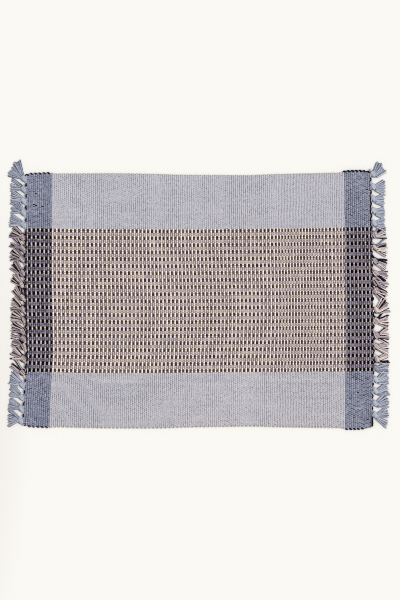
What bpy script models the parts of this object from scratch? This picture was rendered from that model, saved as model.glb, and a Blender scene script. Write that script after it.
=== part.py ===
"""Handwoven cotton placemat, lying flat, with a row of knotted tassels on each short end.

The cloth is one ribbed sheet: thick weft yarns run front to back, so its top is raised in ridges that
cross the mat from one long edge to the other. The warp ends leave the two short edges in bundles, and
each bundle is tied in its own knot, with its loose strands spread on the table in front of it.

Axes: +X to the right along the length, +Y to the back, +Z up. The origin is the middle of the underside.
Lengths in the tables are millimetres, angles are degrees.
"""

import math
from typing import NamedTuple

import bmesh
import bpy
import numpy as np
from mathutils.geometry import convex_hull_2d

MM = 0.001

# The cloth
RIDGE_HEIGHT = 2.2  # top of a weft rib above the table
FURROW_HEIGHT = 1.75  # between two ribs
HALF_LENGTH = 229.2  # nominal half of the cloth's length, where the rib pitches are counted

# A tassel's knot
KNOT_LENGTH = 7.4
KNOT_WIDTH = 5.4
KNOT_HEIGHT = 4.0
KNOT_LEAN = 38.0  # the knots lean back on the left side and forward on the right one
KNOT_POINTS = 12  # points round the knot's oval outline
CROWN_SHARE = 0.55  # the knot's flattened top, as a share of its outline
COLLAR_RADIUS = 2.3  # where the strands part, from the middle of the collar
COLLAR_SHIFT = 2.0  # from the neck to the collar's middle, where the fan turns square to the knot
COLLAR_HEIGHT = 1.5
KNOT_GAP = 0.35  # from a knot to the cloth's edge

# A tassel's strands
STRAND_GAP = 0.35  # least room between two strands of one tassel
STRAND_SPACING = 7.5  # degrees of fan for each strand
MOST_STRANDS = 7
UNEVEN_LENGTH = 0.12  # how much shorter the shortest strand of a tassel is
UNEVEN_BY_NECK, UNEVEN_BY_STRAND = 1.9, 2.3  # radians, so that no two tassels are cut alike


class EdgePoint(NamedTuple):
    """A point of the cloth's outline: how far along an edge, and how far out from the middle line."""

    along: float
    out: float


class RibZone(NamedTuple):
    """A stretch of the cloth where the weft was beaten in at one pitch, up to `end` along X."""

    end: float
    pitch: float


class Station(NamedTuple):
    """A three-sided section of a strand: how far along it, and its greatest width and height."""

    share: float
    width: float
    height: float


class Tassel(NamedTuple):
    """One tied bundle: its neck's Y, and how its strands fan out from there.

    `lean` is the middle of the fan from straight out, to the back if positive; `half` is half of the fan;
    `bend` is how far a strand turns towards the back along its length.
    """

    neck: float
    lean: float
    half: float
    length: float
    bend: float
    yarn: str


STRAND_STATIONS = (Station(0.5, 1.9, 1.4), Station(1.0, 1.7, 1.0))

LEFT_EDGE = (
    EdgePoint(-162.0, 232.8),
    EdgePoint(-130.0, 231.3),
    EdgePoint(-72.0, 227.6),
    EdgePoint(20.0, 229.6),
    EdgePoint(166.0, 228.3),
)
RIGHT_EDGE = (
    EdgePoint(-167.0, 229.4),
    EdgePoint(-130.0, 229.4),
    EdgePoint(-72.0, 231.4),
    EdgePoint(20.0, 229.6),
    EdgePoint(168.0, 226.6),
)
ROW_LEVELS = (-130.0, -72.0, 20.0)  # where the side edges change direction

FRONT_EDGE = (
    EdgePoint(-232.8, 161.8),
    EdgePoint(-229.2, 165.2),
    EdgePoint(-224.4, 167.0),
    EdgePoint(-199.3, 168.3),
    EdgePoint(-188.8, 167.5),
    EdgePoint(-130.7, 168.7),
    EdgePoint(-51.5, 169.2),
    EdgePoint(-11.9, 167.9),
    EdgePoint(67.3, 166.8),
    EdgePoint(133.3, 168.0),
    EdgePoint(186.0, 168.4),
    EdgePoint(194.5, 170.3),
    EdgePoint(210.0, 170.2),
    EdgePoint(223.0, 168.8),
    EdgePoint(229.4, 167.0),
)
BACK_EDGE = (
    EdgePoint(-228.2, 166.1),
    EdgePoint(-223.0, 167.9),
    EdgePoint(-196.7, 169.0),
    EdgePoint(-187.4, 168.0),
    EdgePoint(-117.5, 168.3),
    EdgePoint(-51.5, 167.6),
    EdgePoint(-25.0, 166.6),
    EdgePoint(67.3, 166.2),
    EdgePoint(101.6, 167.4),
    EdgePoint(186.1, 169.0),
    EdgePoint(194.5, 171.1),
    EdgePoint(215.2, 171.5),
    EdgePoint(226.6, 169.6),
)

RIB_ZONES = (
    RibZone(-194.2, 2.69),
    RibZone(-156.6, 2.68),
    RibZone(-123.4, 2.76),
    RibZone(-71.1, 2.63),
    RibZone(-0.4, 2.52),
    RibZone(71.8, 2.57),
    RibZone(102.3, 2.53),
    RibZone(164.6, 2.09),
    RibZone(184.4, 2.46),
    RibZone(198.0, 2.28),
    RibZone(229.2, 2.6),
)

BLUE, MIXED = "blue", "mixed"

LEFT_TASSELS = (
    Tassel(164.0, 47, 32, 18.2, 0, BLUE),
    Tassel(149.8, 17, 20, 15.0, 0, BLUE),
    Tassel(134.9, 12, 24, 14.2, 0, BLUE),
    Tassel(118.8, 36, 34, 14.5, 0, BLUE),
    Tassel(103.0, 13, 22, 15.5, 0, BLUE),
    Tassel(85.8, 34, 24, 15.4, -8, MIXED),
    Tassel(71.4, 36, 18, 14.5, 0, MIXED),
    Tassel(57.0, 33, 34, 14.5, 0, MIXED),
    Tassel(38.3, 42, 15, 16.0, 12, MIXED),
    Tassel(23.1, 45, 17, 14.0, 6, MIXED),
    Tassel(6.5, 50, 15, 14.0, 10, MIXED),
    Tassel(-9.2, 30, 28, 14.0, 0, MIXED),
    Tassel(-23.8, 26, 24, 13.8, -6, MIXED),
    Tassel(-38.4, 24, 18, 13.8, 0, MIXED),
    Tassel(-47.8, 18, 8, 14.0, 4, MIXED),
    Tassel(-58.6, 27, 15, 14.6, 0, MIXED),
    Tassel(-74.3, 26, 26, 15.2, 0, MIXED),
    Tassel(-92.4, 40, 15, 16.6, 0, MIXED),
    Tassel(-108.4, 34, 22, 15.8, 0, BLUE),
    Tassel(-124.3, 30, 23, 14.6, 0, BLUE),
    Tassel(-139.3, 18, 23, 13.6, 0, BLUE),
    Tassel(-155.5, 8, 36, 13.6, 0, BLUE),
)
RIGHT_TASSELS = (
    Tassel(163.8, 52, 20, 16.2, 0, BLUE),
    Tassel(147.0, 10, 28, 12.6, 0, BLUE),
    Tassel(131.3, 0, 24, 11.2, 0, BLUE),
    Tassel(115.5, -4, 22, 11.2, 0, BLUE),
    Tassel(99.0, 4, 20, 11.2, 0, BLUE),
    Tassel(84.5, 28, 24, 13.5, 0, MIXED),
    Tassel(68.0, 0, 30, 13.5, 0, MIXED),
    Tassel(50.0, -12, 22, 13.5, -24, MIXED),
    Tassel(33.5, -14, 15, 13.8, -14, MIXED),
    Tassel(21.4, -20, 8, 14.5, 0, MIXED),
    Tassel(10.4, -30, 15, 13.5, -8, MIXED),
    Tassel(-14.8, 38, 22, 16.5, 0, MIXED),
    Tassel(-28.5, 14, 30, 13.6, 0, MIXED),
    Tassel(-48.2, 4, 30, 14.0, -12, MIXED),
    Tassel(-62.8, -8, 20, 13.2, -6, MIXED),
    Tassel(-79.6, 14, 16, 14.0, 14, MIXED),
    Tassel(-91.6, 8, 16, 14.5, 0, BLUE),
    Tassel(-107.3, 22, 20, 14.8, 0, BLUE),
    Tassel(-122.6, 24, 19, 15.2, 0, BLUE),
    Tassel(-138.5, 22, 20, 15.6, 0, BLUE),
    Tassel(-154.0, -4, 38, 15.2, 0, BLUE),
)

COLOURS = {  # linear RGB of the yarns as they look from a step away
    "cloth": (0.40, 0.41, 0.48),
    BLUE: (0.32, 0.37, 0.50),
    MIXED: (0.34, 0.30, 0.33),
}


def cotton(name, colour):
    """A matt cotton material."""
    material = bpy.data.materials.new(name)
    material.use_nodes = True
    shader = material.node_tree.nodes["Principled BSDF"]
    shader.inputs["Base Color"].default_value = (*colour, 1.0)
    shader.inputs["Roughness"].default_value = 0.92
    shader.inputs["Metallic"].default_value = 0.0
    material.diffuse_color = (*colour, 1.0)
    return material


def add_object(name, bm, material):
    """Turns the faces of a closed shape outwards and puts it in the scene under its name."""
    bmesh.ops.recalc_face_normals(bm, faces=bm.faces)
    mesh = bpy.data.meshes.new(name)
    bm.to_mesh(mesh)
    bm.free()
    mesh.materials.append(material)
    item = bpy.data.objects.new(name, mesh)
    bpy.context.scene.collection.objects.link(item)
    return item


def edge_at(points, along):
    """How far out an edge lies, between the points of its table."""
    return np.interp(along, [p.along for p in points], [p.out for p in points])


def rib_lines():
    """Furrow, ridge, furrow ... as shares of the length from the left edge, with their heights."""
    furrows = [-HALF_LENGTH]
    for zone in RIB_ZONES:
        count = round((zone.end - furrows[-1]) / zone.pitch)
        furrows += list(np.linspace(furrows[-1], zone.end, count + 1)[1:])
    furrows = np.array(furrows)
    lines = np.empty(2 * len(furrows) - 1)
    lines[0::2] = furrows
    lines[1::2] = (furrows[1:] + furrows[:-1]) / 2
    heights = np.where(np.arange(len(lines)) % 2 == 0, FURROW_HEIGHT, RIDGE_HEIGHT)
    return (lines + HALF_LENGTH) / (2 * HALF_LENGTH), heights


def build_cloth():
    """The ribbed sheet: a grid of rib lines by levels on top, a flat underside, and walls between."""
    shares, heights = rib_lines()
    nominal = (2 * shares - 1) * HALF_LENGTH
    front, back = -edge_at(FRONT_EDGE, nominal), edge_at(BACK_EDGE, nominal)
    levels = [front] + [np.full(len(shares), y) for y in ROW_LEVELS] + [back]
    bm = bmesh.new()
    rows = []
    for y in levels:
        left, right = -edge_at(LEFT_EDGE, y), edge_at(RIGHT_EDGE, y)
        x = left + shares * (right - left)
        rows.append([bm.verts.new((a * MM, b * MM, c * MM)) for a, b, c in zip(x, y, heights)])
    for near, far in zip(rows, rows[1:]):
        for i in range(len(near) - 1):
            bm.faces.new((near[i], near[i + 1], far[i + 1], far[i]))

    def below(vertex):
        return bm.verts.new((vertex.co.x, vertex.co.y, 0.0))

    def wall(top, bottom, step):
        for k in range(len(bottom) - 1):
            bm.faces.new((bottom[k], bottom[k + 1], *reversed(top[k * step : (k + 1) * step + 1])))

    front_low = [below(v) for v in rows[0][::2]]
    back_low = [below(v) for v in rows[-1][::2]]
    left_low = [front_low[0]] + [below(row[0]) for row in rows[1:-1]] + [back_low[0]]
    right_low = [front_low[-1]] + [below(row[-1]) for row in rows[1:-1]] + [back_low[-1]]
    wall(rows[0], front_low, 2)
    wall(rows[-1], back_low, 2)
    wall([row[0] for row in rows], left_low, 1)
    wall([row[-1] for row in rows], right_low, 1)
    bm.faces.new(front_low + right_low[1:-1] + back_low[::-1] + left_low[1:-1][::-1])
    return add_object("mat_cloth", bm, cotton("handwoven_cotton_cloth", COLOURS["cloth"]))


def heading(side, angle):
    """A level direction: `angle` degrees from straight out of the mat's side, to the back if positive."""
    return np.array((side * math.cos(math.radians(angle)), math.sin(math.radians(angle))))


def knot_outline(centre, axis):
    """The oval of a knot, seen from above."""
    turns = np.linspace(0.0, math.tau, KNOT_POINTS, endpoint=False)
    across = np.array((-axis[1], axis[0]))
    oval = np.outer(np.cos(turns) * KNOT_LENGTH / 2, axis) + np.outer(np.sin(turns) * KNOT_WIDTH / 2, across)
    return centre + oval


def neck_place(side, row, axis):
    """The middle of a tassel's neck, with the knot behind it just clear of the cloth's edge."""
    edge = LEFT_EDGE if side < 0 else RIGHT_EDGE
    centre = np.array((0.0, row.neck)) - axis * (KNOT_LENGTH / 2)
    outline = knot_outline(centre, axis)
    inset = side * outline[:, 0] - edge_at(edge, outline[:, 1])
    return np.array((side * (KNOT_GAP - inset.min()), row.neck))


def strand_sections(side, row, shift, start, order, count, spacing):
    """The three-sided sections of one strand, flat on the table, from the collar to the tip."""
    angle = row.lean + row.half * (2 * order / (count - 1) - 1)
    shorter = UNEVEN_LENGTH * abs(math.sin(UNEVEN_BY_NECK * row.neck + UNEVEN_BY_STRAND * order))
    run = row.length * (1 - shorter) - shift - COLLAR_RADIUS
    sections = []
    place, reached = start, 0.0
    for share, width, height in STRAND_STATIONS:
        ahead = heading(side, angle + row.bend * (share + reached) / 2)
        place = place + ahead * run * (share - reached)
        reached = share
        room = (COLLAR_RADIUS + run * share) * spacing - STRAND_GAP
        across = np.array((-ahead[1], ahead[0])) * side * min(width, room) / 2
        sections.append(((*(place - across), 0.0), (*(place + across), 0.0), (*place, height)))
    return sections


def build_tassel(name, side, row, material):
    """One tied bundle: a knot with a collar, and strands that leave the collar side by side.

    The knot is three rings of one outline: on the table, at the collar's height, and drawn in at the top.
    Each strand takes the place of one wall of the collar, so that knot and strands are one closed body.
    """
    axis = heading(side, KNOT_LEAN if side < 0 else -KNOT_LEAN)
    neck = neck_place(side, row, axis)
    centre = neck - axis * (KNOT_LENGTH / 2)
    out = heading(side, row.lean)
    shift = COLLAR_SHIFT * (1 - float(out @ axis))
    root = neck + out * shift
    count = min(MOST_STRANDS, round(2 * row.half / STRAND_SPACING) + 1)
    step = 2 * row.half / (count - 1)
    turns = row.lean + np.linspace(-row.half - step / 2, row.half + step / 2, count + 1)
    collar = [root + heading(side, turn) * COLLAR_RADIUS for turn in turns]
    oval = knot_outline(centre, axis)
    points = np.vstack((collar, oval))
    hull = points[convex_hull_2d([tuple(p) for p in points])]
    bm = bmesh.new()

    def ring(share, height):
        return [bm.verts.new((*((centre + (p - centre) * share) * MM), height * MM)) for p in hull]

    low, shoulder, crown = ring(1.0, 0.0), ring(1.0, COLLAR_HEIGHT), ring(CROWN_SHARE, KNOT_HEIGHT)
    order_of = {tuple(np.round(p, 6)): k for k, p in enumerate(collar)}
    spots = [order_of.get(tuple(np.round(p, 6))) for p in hull]
    total = len(hull)
    for i in range(total):
        j = (i + 1) % total
        bm.faces.new((shoulder[i], shoulder[j], crown[j], crown[i]))
        here, there = spots[i], spots[j]
        if here is None or there is None or abs(here - there) != 1:
            bm.faces.new((low[i], low[j], shoulder[j], shoulder[i]))
            continue
        order = min(here, there)
        a, b = (i, j) if here < there else (j, i)
        start = (collar[order] + collar[order + 1]) / 2
        mid, tip = (
            [bm.verts.new(np.array(p) * MM) for p in section]
            for section in strand_sections(side, row, shift, start, order, count, math.radians(step))
        )
        bm.faces.new((low[a], low[b], mid[1], mid[0]))
        bm.faces.new((shoulder[a], low[a], mid[0], mid[2]))
        bm.faces.new((low[b], shoulder[b], mid[2], mid[1]))
        bm.faces.new((shoulder[b], shoulder[a], mid[2]))
        for k in range(3):
            bm.faces.new((mid[k], mid[(k + 1) % 3], tip[(k + 1) % 3], tip[k]))
        bm.faces.new(tip)
    bm.faces.new(low)
    bm.faces.new(crown)
    return add_object(name, bm, material)


def main():
    for item in list(bpy.data.objects):
        bpy.data.objects.remove(item, do_unlink=True)
    yarns = {
        BLUE: cotton("blue_cotton_yarn", COLOURS[BLUE]),
        MIXED: cotton("mixed_cotton_yarn", COLOURS[MIXED]),
    }
    build_cloth()
    for word, side, rows in (("left", -1, LEFT_TASSELS), ("right", 1, RIGHT_TASSELS)):
        for number, row in enumerate(rows, start=1):
            build_tassel(f"tassel_{word}_{number:02d}", side, row, yarns[row.yarn])


main()
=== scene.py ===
"""Looks of a handwoven cotton placemat with knotted tassels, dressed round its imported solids.

The mat is a rep weave. Thick weft picks run front to back and make the ribs; the warp ends run left to
right and cover them in short floats, a different set on every second rib. Each float, selvage turn, knot
and loose warp end is modelled as its own closed yarn, and a ribbed ground lies under the floats.

Axes are those of the frame: +X right along the mat, +Y to the back, +Z up, origin in the middle of the
underside. Lengths in the tables are millimetres, angles are degrees.
"""

from __future__ import annotations

import itertools
import logging
import math
from dataclasses import dataclass, field
from enum import Enum
from functools import cache
from typing import ClassVar, NamedTuple

import bpy
import numpy as np
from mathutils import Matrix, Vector

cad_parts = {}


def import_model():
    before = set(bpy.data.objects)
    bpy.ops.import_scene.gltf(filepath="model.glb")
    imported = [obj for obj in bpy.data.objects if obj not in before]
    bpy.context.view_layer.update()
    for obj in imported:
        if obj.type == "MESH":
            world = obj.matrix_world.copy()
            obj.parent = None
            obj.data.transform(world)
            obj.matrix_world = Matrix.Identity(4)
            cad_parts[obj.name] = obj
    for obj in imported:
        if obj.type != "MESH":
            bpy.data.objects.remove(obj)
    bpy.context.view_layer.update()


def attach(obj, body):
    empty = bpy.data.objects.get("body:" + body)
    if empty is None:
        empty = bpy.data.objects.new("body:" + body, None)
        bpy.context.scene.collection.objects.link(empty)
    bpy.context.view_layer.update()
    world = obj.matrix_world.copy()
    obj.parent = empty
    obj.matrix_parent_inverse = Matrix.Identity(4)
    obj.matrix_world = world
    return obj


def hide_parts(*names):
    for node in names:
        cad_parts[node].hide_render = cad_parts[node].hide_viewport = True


MM = 0.001
LOG = logging.getLogger("placemat")

# The photograph's frame, looking straight down
FRAME_PIXELS = (400, 600)
PIXEL = 1.32  # millimetres of table to a pixel
FRAME_CENTRE = (1.32, 0.66)  # the point under the lens

CLOTH_LENGTH, CLOTH_WIDTH = 458.0, 337.0  # as woven, without the tassels
MAP_MARGIN = 6.0  # what a plan map leaves round the cloth
MAP_TOP, MAP_UNDER = 0.34, 0.36  # where the top's plan ends and the underside's begins on a shared map
COTTON_IOR = 1.46


class Yarn(Enum):
    """The dyes of the mat's cotton."""

    BLUE = "b"
    BLACK = "k"
    CREAM = "c"
    MAUVE = "m"
    GREY = "g"


class Side(Enum):
    """The two short ends of the mat, by the sign of X."""

    LEFT = -1
    RIGHT = 1


Span = tuple[float, float]
Triple = tuple[float, float, float]
Line = tuple[Span, ...]  # for each point a place along the line, and the value there


class Tassel(NamedTuple):
    """One tied bundle: its neck's Y, how its locks fan out, and its yarns.

    `lean` is the middle of the fan from straight out, to the back if positive; `half` is half of the fan;
    `bend` is how far a lock turns to the back along its length. `locks` has a letter of Yarn for each lock
    from the back one to the front one, and `knot` one for each yarn of the bulb and one for its binding.
    Where they are empty all is blue.
    """

    neck: float
    lean: float
    half: float
    length: float
    bend: float = 0
    locks: str = ""
    knot: str = ""


def values(line: Line, at: np.ndarray | float) -> np.ndarray:
    """Reads a line at any place, straight between its points.

    Args:
        line: The line's points in rising order.
        at: Where it is read.

    Returns:
        The value there.
    """
    places, there = zip(*line)
    return np.interp(at, places, there)


def linear(code: str) -> tuple[float, float, float, float]:
    """Turns an sRGB hex colour into Blender's linear RGBA.

    Args:
        code: Six hex digits after a #.

    Returns:
        Linear red, green, blue and an alpha of 1.
    """
    parts = [int(code[i : i + 2], 16) / 255 for i in (1, 3, 5)]
    bent = [c / 12.92 if c <= 0.04045 else ((c + 0.055) / 1.055) ** 2.4 for c in parts]
    return (*bent, 1.0)


def new_material(name: str) -> tuple[bpy.types.Material, bpy.types.NodeTree]:
    """Makes a material, and gives it with its tree, which is empty."""
    made = bpy.data.materials.new(name)
    made.use_nodes = True
    made.node_tree.nodes.clear()
    return made, made.node_tree


def add_node(tree: bpy.types.NodeTree, kind: str, inputs: dict | None = None, **settings) -> bpy.types.Node:
    """Adds one node with its settings, and sets or links its inputs.

    Args:
        tree: The tree that it joins.
        kind: The node's type.
        inputs: For each input, a value or the socket that feeds it.
        **settings: The node's own properties.

    Returns:
        The new node.
    """
    node = tree.nodes.new(kind)
    for name, value in settings.items():
        setattr(node, name, value)
    for key, value in (inputs or {}).items():
        if isinstance(value, bpy.types.NodeSocket):
            tree.links.new(value, node.inputs[key])
        else:
            node.inputs[key].default_value = value
    return node


@dataclass(frozen=True)
class CottonYarn:
    """Dyed two-ply cotton, spun and twisted: matt, a little hairy, and uneven from yarn to yarn.

    The eye sees a soft dull thread whose tone changes with the dye it took up, with faint slanted lines
    where its two plies wind round each other.
    """

    name: str
    deep: str  # the colour where the dye took best
    pale: str  # and where it took least
    tint: str  # what some yarns lean to
    furrow: str  # the colour of painted shade low between the yarns
    tint_share: float = 0.5  # how far the most tinted yarn leans to it
    ply_pitch: float = 1.1  # millimetres along the yarn from ply to ply
    fibre: float = 0.35  # millimetres, the mottling that loose fibres leave, drawn coarse enough to show
    mottle: float = 0.16  # how far it moves the tone
    slub: float = 1.3  # millimetres, the length of its thick and thin places
    slub_share: float = 0.12  # how far they move the tone
    ply_share: float = 0.35  # how high a ply stands beside a fibre
    relief: float = 0.12  # millimetres, the height that the bump stands for
    relief_strength: float = 0.35
    roughness: float = 0.92
    gloss: float = 0.06  # fuzz scatters nearly all light, so almost no shine is left

    @cache
    def material(self) -> bpy.types.Material:
        """Builds the yarn's material from its tone, hue, painted furrow shade and ply attributes, once.

        Returns:
            A material in which tone runs from deep to pale, hue mixes in the tint, furrow_shade mixes in
            the furrow colour as painted shade, and a sine of ply along the yarn raises its plies.
        """
        made, tree = new_material(self.name)
        tone, hue, furrow_shade, plies = (
            add_node(tree, "ShaderNodeAttribute", attribute_name=name).outputs["Fac"]
            for name in ("tone", "hue", "furrow_shade", "ply")
        )
        place = add_node(tree, "ShaderNodeTexCoord").outputs["Object"]
        # Slubs, then fibres, move the tone up and down: each is a noise, stretched about its middle
        for size, detail, reach, share in (
            (self.slub, 0.0, 0.25, self.slub_share),
            (self.fibre, 2.0, 0.2, self.mottle),
        ):
            noise = add_node(
                tree,
                "ShaderNodeTexNoise",
                {"Vector": place, "Scale": 1 / (size * MM), "Detail": detail, "Roughness": 0.6},
            ).outputs["Fac"]
            spread = {"From Min": 0.5 - reach, "From Max": 0.5 + reach, "To Min": -share, "To Max": share}
            moved = add_node(tree, "ShaderNodeMapRange", {"Value": noise} | spread)
            mixed = add_node(tree, "ShaderNodeMath", {0: tone, 1: moved.outputs["Result"]}, operation="ADD")
            tone = mixed.outputs[0]
        tinting = add_node(tree, "ShaderNodeMath", {0: hue, 1: self.tint_share}, operation="MULTIPLY")
        colour = linear(self.deep)
        # the last mix is painted shade: the furrow colour, as far as the furrow_shade attribute says
        for share, other in ((tone, self.pale), (tinting.outputs[0], self.tint), (furrow_shade, self.furrow)):
            mix = {"Factor": share, "A": colour, "B": linear(other)}
            colour = add_node(tree, "ShaderNodeMix", mix, data_type="RGBA").outputs["Result"]
        turn = math.tau / self.ply_pitch
        wave = add_node(tree, "ShaderNodeMath", {0: plies, 1: turn}, operation="MULTIPLY")
        ridge = add_node(tree, "ShaderNodeMath", {0: wave.outputs[0]}, operation="SINE")
        raised = {0: ridge.outputs[0], 1: self.ply_share, 2: noise}
        height = add_node(tree, "ShaderNodeMath", raised, operation="MULTIPLY_ADD").outputs[0]
        relief = {"Height": height, "Strength": self.relief_strength, "Distance": self.relief * MM}
        shader = add_node(
            tree,
            "ShaderNodeBsdfPrincipled",
            {
                "Base Color": colour,
                "Normal": add_node(tree, "ShaderNodeBump", relief).outputs["Normal"],
                "Roughness": self.roughness,
                "IOR": COTTON_IOR,
                "Specular IOR Level": self.gloss,
            },
        )
        add_node(tree, "ShaderNodeOutputMaterial", {"Surface": shader.outputs[0]})
        return made


# Each finish's fourth colour is its furrow colour, which painted shade mixes in low between the yarns
FINISHES = {
    Yarn.BLUE: CottonYarn(
        "pale_blue_cotton", "#B3B2BD", "#D3CFD3", "#B2B9CE", "#C4C4CF", 0.4, slub_share=0.15
    ),
    Yarn.BLACK: CottonYarn(
        "black_cotton", "#07030A", "#8F736B", "#30203C", "#1C1217", mottle=0.04, slub_share=0.0
    ),
    Yarn.CREAM: CottonYarn("cream_cotton", "#F3E2D8", "#FFFBF6", "#FAF2D2", "#8E776E"),
    Yarn.MAUVE: CottonYarn("mauve_cotton", "#A59499", "#EBD9D2", "#A8A0C0", "#9A8B91"),
    Yarn.GREY: CottonYarn("grey_cotton", "#5A5866", "#A7A6B2", "#7C6F8A", "#2E2A34"),
}
# The same ends over the black picks of the end bands: thinner there, so that the black shines through
BAND_FINISHES = {
    Yarn.BLUE: CottonYarn(
        "blue_cotton_on_black", "#70748B", "#BDBECC", "#7C86A6", "#74778D", slub=1.1, slub_share=0.26
    ),
    Yarn.CREAM: CottonYarn(
        "cream_cotton_on_black", "#998E87", "#E6DED5", "#B9B4C6", "#3C3036", slub_share=0.3
    ),
    Yarn.MAUVE: CottonYarn(
        "mauve_cotton_on_black", "#5A5467", "#A59AA6", "#6B6586", "#4A4454", 0.6, slub_share=0.5
    ),
}
# Loose ends: darker copies of the dyes, painted shade for the shadows among the hanging yarns, each with a
# dark furrow colour for the painted shade under it
SHADED_LOOSE_FINISHES = {
    Yarn.BLUE: CottonYarn("loose_blue_cotton", "#5C647C", "#CED4E2", "#9898B4", "#3A3F52", 0.3),
    Yarn.BLACK: FINISHES[Yarn.BLACK],
    Yarn.CREAM: CottonYarn("loose_cream_cotton", "#AC9C95", "#EBDFD8", "#E2D3BE", "#4A3C38", 0.3),
    Yarn.MAUVE: CottonYarn("loose_mauve_cotton", "#8A7983", "#CBBABD", "#9A92B4", "#453A42", 0.3),
    Yarn.GREY: FINISHES[Yarn.GREY],
}


@dataclass(frozen=True)
class WeftYarn:
    """Thick, soft, singles cotton of the picks, seen only as specks between the floats and at the edges.

    It is undyed in the middle of the mat and black in the two end bands, which makes the bands look
    darker than the middle although the same warp runs through both.
    """

    name: str = "weft_cotton"
    undyed: str = "#C6C5CD"
    black: str = "#1B1926"
    fluff: float = 0.5  # millimetres, the lumps of its soft spinning
    relief: float = 0.15  # millimetres, their height
    relief_strength: float = 0.4
    roughness: float = 0.95
    gloss: float = 0.06

    @cache
    def material(self) -> bpy.types.Material:
        """Builds the weft's material, once.

        Returns:
            A material that turns from undyed to black with the band attribute.
        """
        made, tree = new_material(self.name)
        band = add_node(tree, "ShaderNodeAttribute", attribute_name="band").outputs["Fac"]
        place = add_node(tree, "ShaderNodeTexCoord").outputs["Object"]
        lumps = {"Vector": place, "Scale": 1 / (self.fluff * MM), "Detail": 2.0}
        fluff = add_node(tree, "ShaderNodeTexNoise", lumps).outputs["Fac"]
        mix = {"Factor": band, "A": linear(self.undyed), "B": linear(self.black)}
        relief = {"Height": fluff, "Strength": self.relief_strength, "Distance": self.relief * MM}
        shader = add_node(
            tree,
            "ShaderNodeBsdfPrincipled",
            {
                "Base Color": add_node(tree, "ShaderNodeMix", mix, data_type="RGBA").outputs["Result"],
                "Normal": add_node(tree, "ShaderNodeBump", relief).outputs["Normal"],
                "Roughness": self.roughness,
                "IOR": COTTON_IOR,
                "Specular IOR Level": self.gloss,
            },
        )
        add_node(tree, "ShaderNodeOutputMaterial", {"Surface": shader.outputs[0]})
        return made


def add_piece(
    name: str,
    points: np.ndarray,
    faces: list[np.ndarray],
    materials: list[bpy.types.Material],
    attributes: dict[str, np.ndarray],
    slots: np.ndarray | None = None,
) -> bpy.types.Object:
    """Puts arrays of points and faces into one smooth mesh object at the origin.

    Args:
        name: The object's name.
        points: Corner points in millimetres, one row each.
        faces: Arrays of corner numbers, each with faces of one size.
        materials: The mesh's materials.
        attributes: Numbers for each point, by name.
        slots: Each face's material number, or None where there is only one.

    Returns:
        The new object.
    """
    mesh = bpy.data.meshes.new(name)
    mesh.vertices.add(len(points))
    mesh.vertices.foreach_set("co", (points * MM).astype(np.float32).ravel())
    corners = np.concatenate([f.ravel() for f in faces]).astype(np.int32)
    sizes = np.concatenate([np.full(len(f), f.shape[1]) for f in faces]).astype(np.int32)
    mesh.loops.add(len(corners))
    mesh.loops.foreach_set("vertex_index", corners)
    mesh.polygons.add(len(sizes))
    mesh.polygons.foreach_set("loop_start", np.concatenate(([0], np.cumsum(sizes)[:-1])).astype(np.int32))
    if slots is not None:
        mesh.polygons.foreach_set("material_index", slots.astype(np.int32))
    mesh.update(calc_edges=True)
    mesh.shade_smooth()
    for key, numbers in attributes.items():
        layer = mesh.attributes.new(key, "FLOAT", "POINT")
        layer.data.foreach_set("value", numbers.astype(np.float32))
    for material in materials:
        mesh.materials.append(material)
    item = bpy.data.objects.new(name, mesh)
    bpy.context.scene.collection.objects.link(item)
    return item


def add_plan_map(
    item: bpy.types.Object, spread: np.ndarray | None = None, under: np.ndarray | None = None
) -> None:
    """Gives a flat woven piece a map of its plan: U runs along the mat's length and V along its width.

    A piece whose underside shows has two plans, one above the other: the top's in the map's lower third,
    and the underside's over it.

    Args:
        item: The piece.
        spread: For each corner of its faces, how far it is moved out from the middle, as a share, or None.
        under: For each corner, whether it belongs to the underside, or None where that never shows.
    """
    mesh = item.data
    places = np.empty(3 * len(mesh.vertices), np.float32)
    mesh.vertices.foreach_get("co", places)
    corner = np.empty(len(mesh.loops), np.int32)
    mesh.loops.foreach_get("vertex_index", corner)
    plan = places.reshape(-1, 3)[corner, :2] / MM
    if spread is not None:
        plan = plan * (1 + spread[:, None])
    size = np.array((CLOTH_LENGTH, CLOTH_WIDTH)) + 2 * MAP_MARGIN
    share = plan / size + 0.5
    if under is not None:
        share[:, 1] = np.where(under, MAP_UNDER + (1 - MAP_UNDER) * share[:, 1], MAP_TOP * share[:, 1])
    layer = mesh.uv_layers.new(name="OFBake", do_init=False)
    layer.uv.foreach_set("vector", share.astype(np.float32).ravel())


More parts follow.
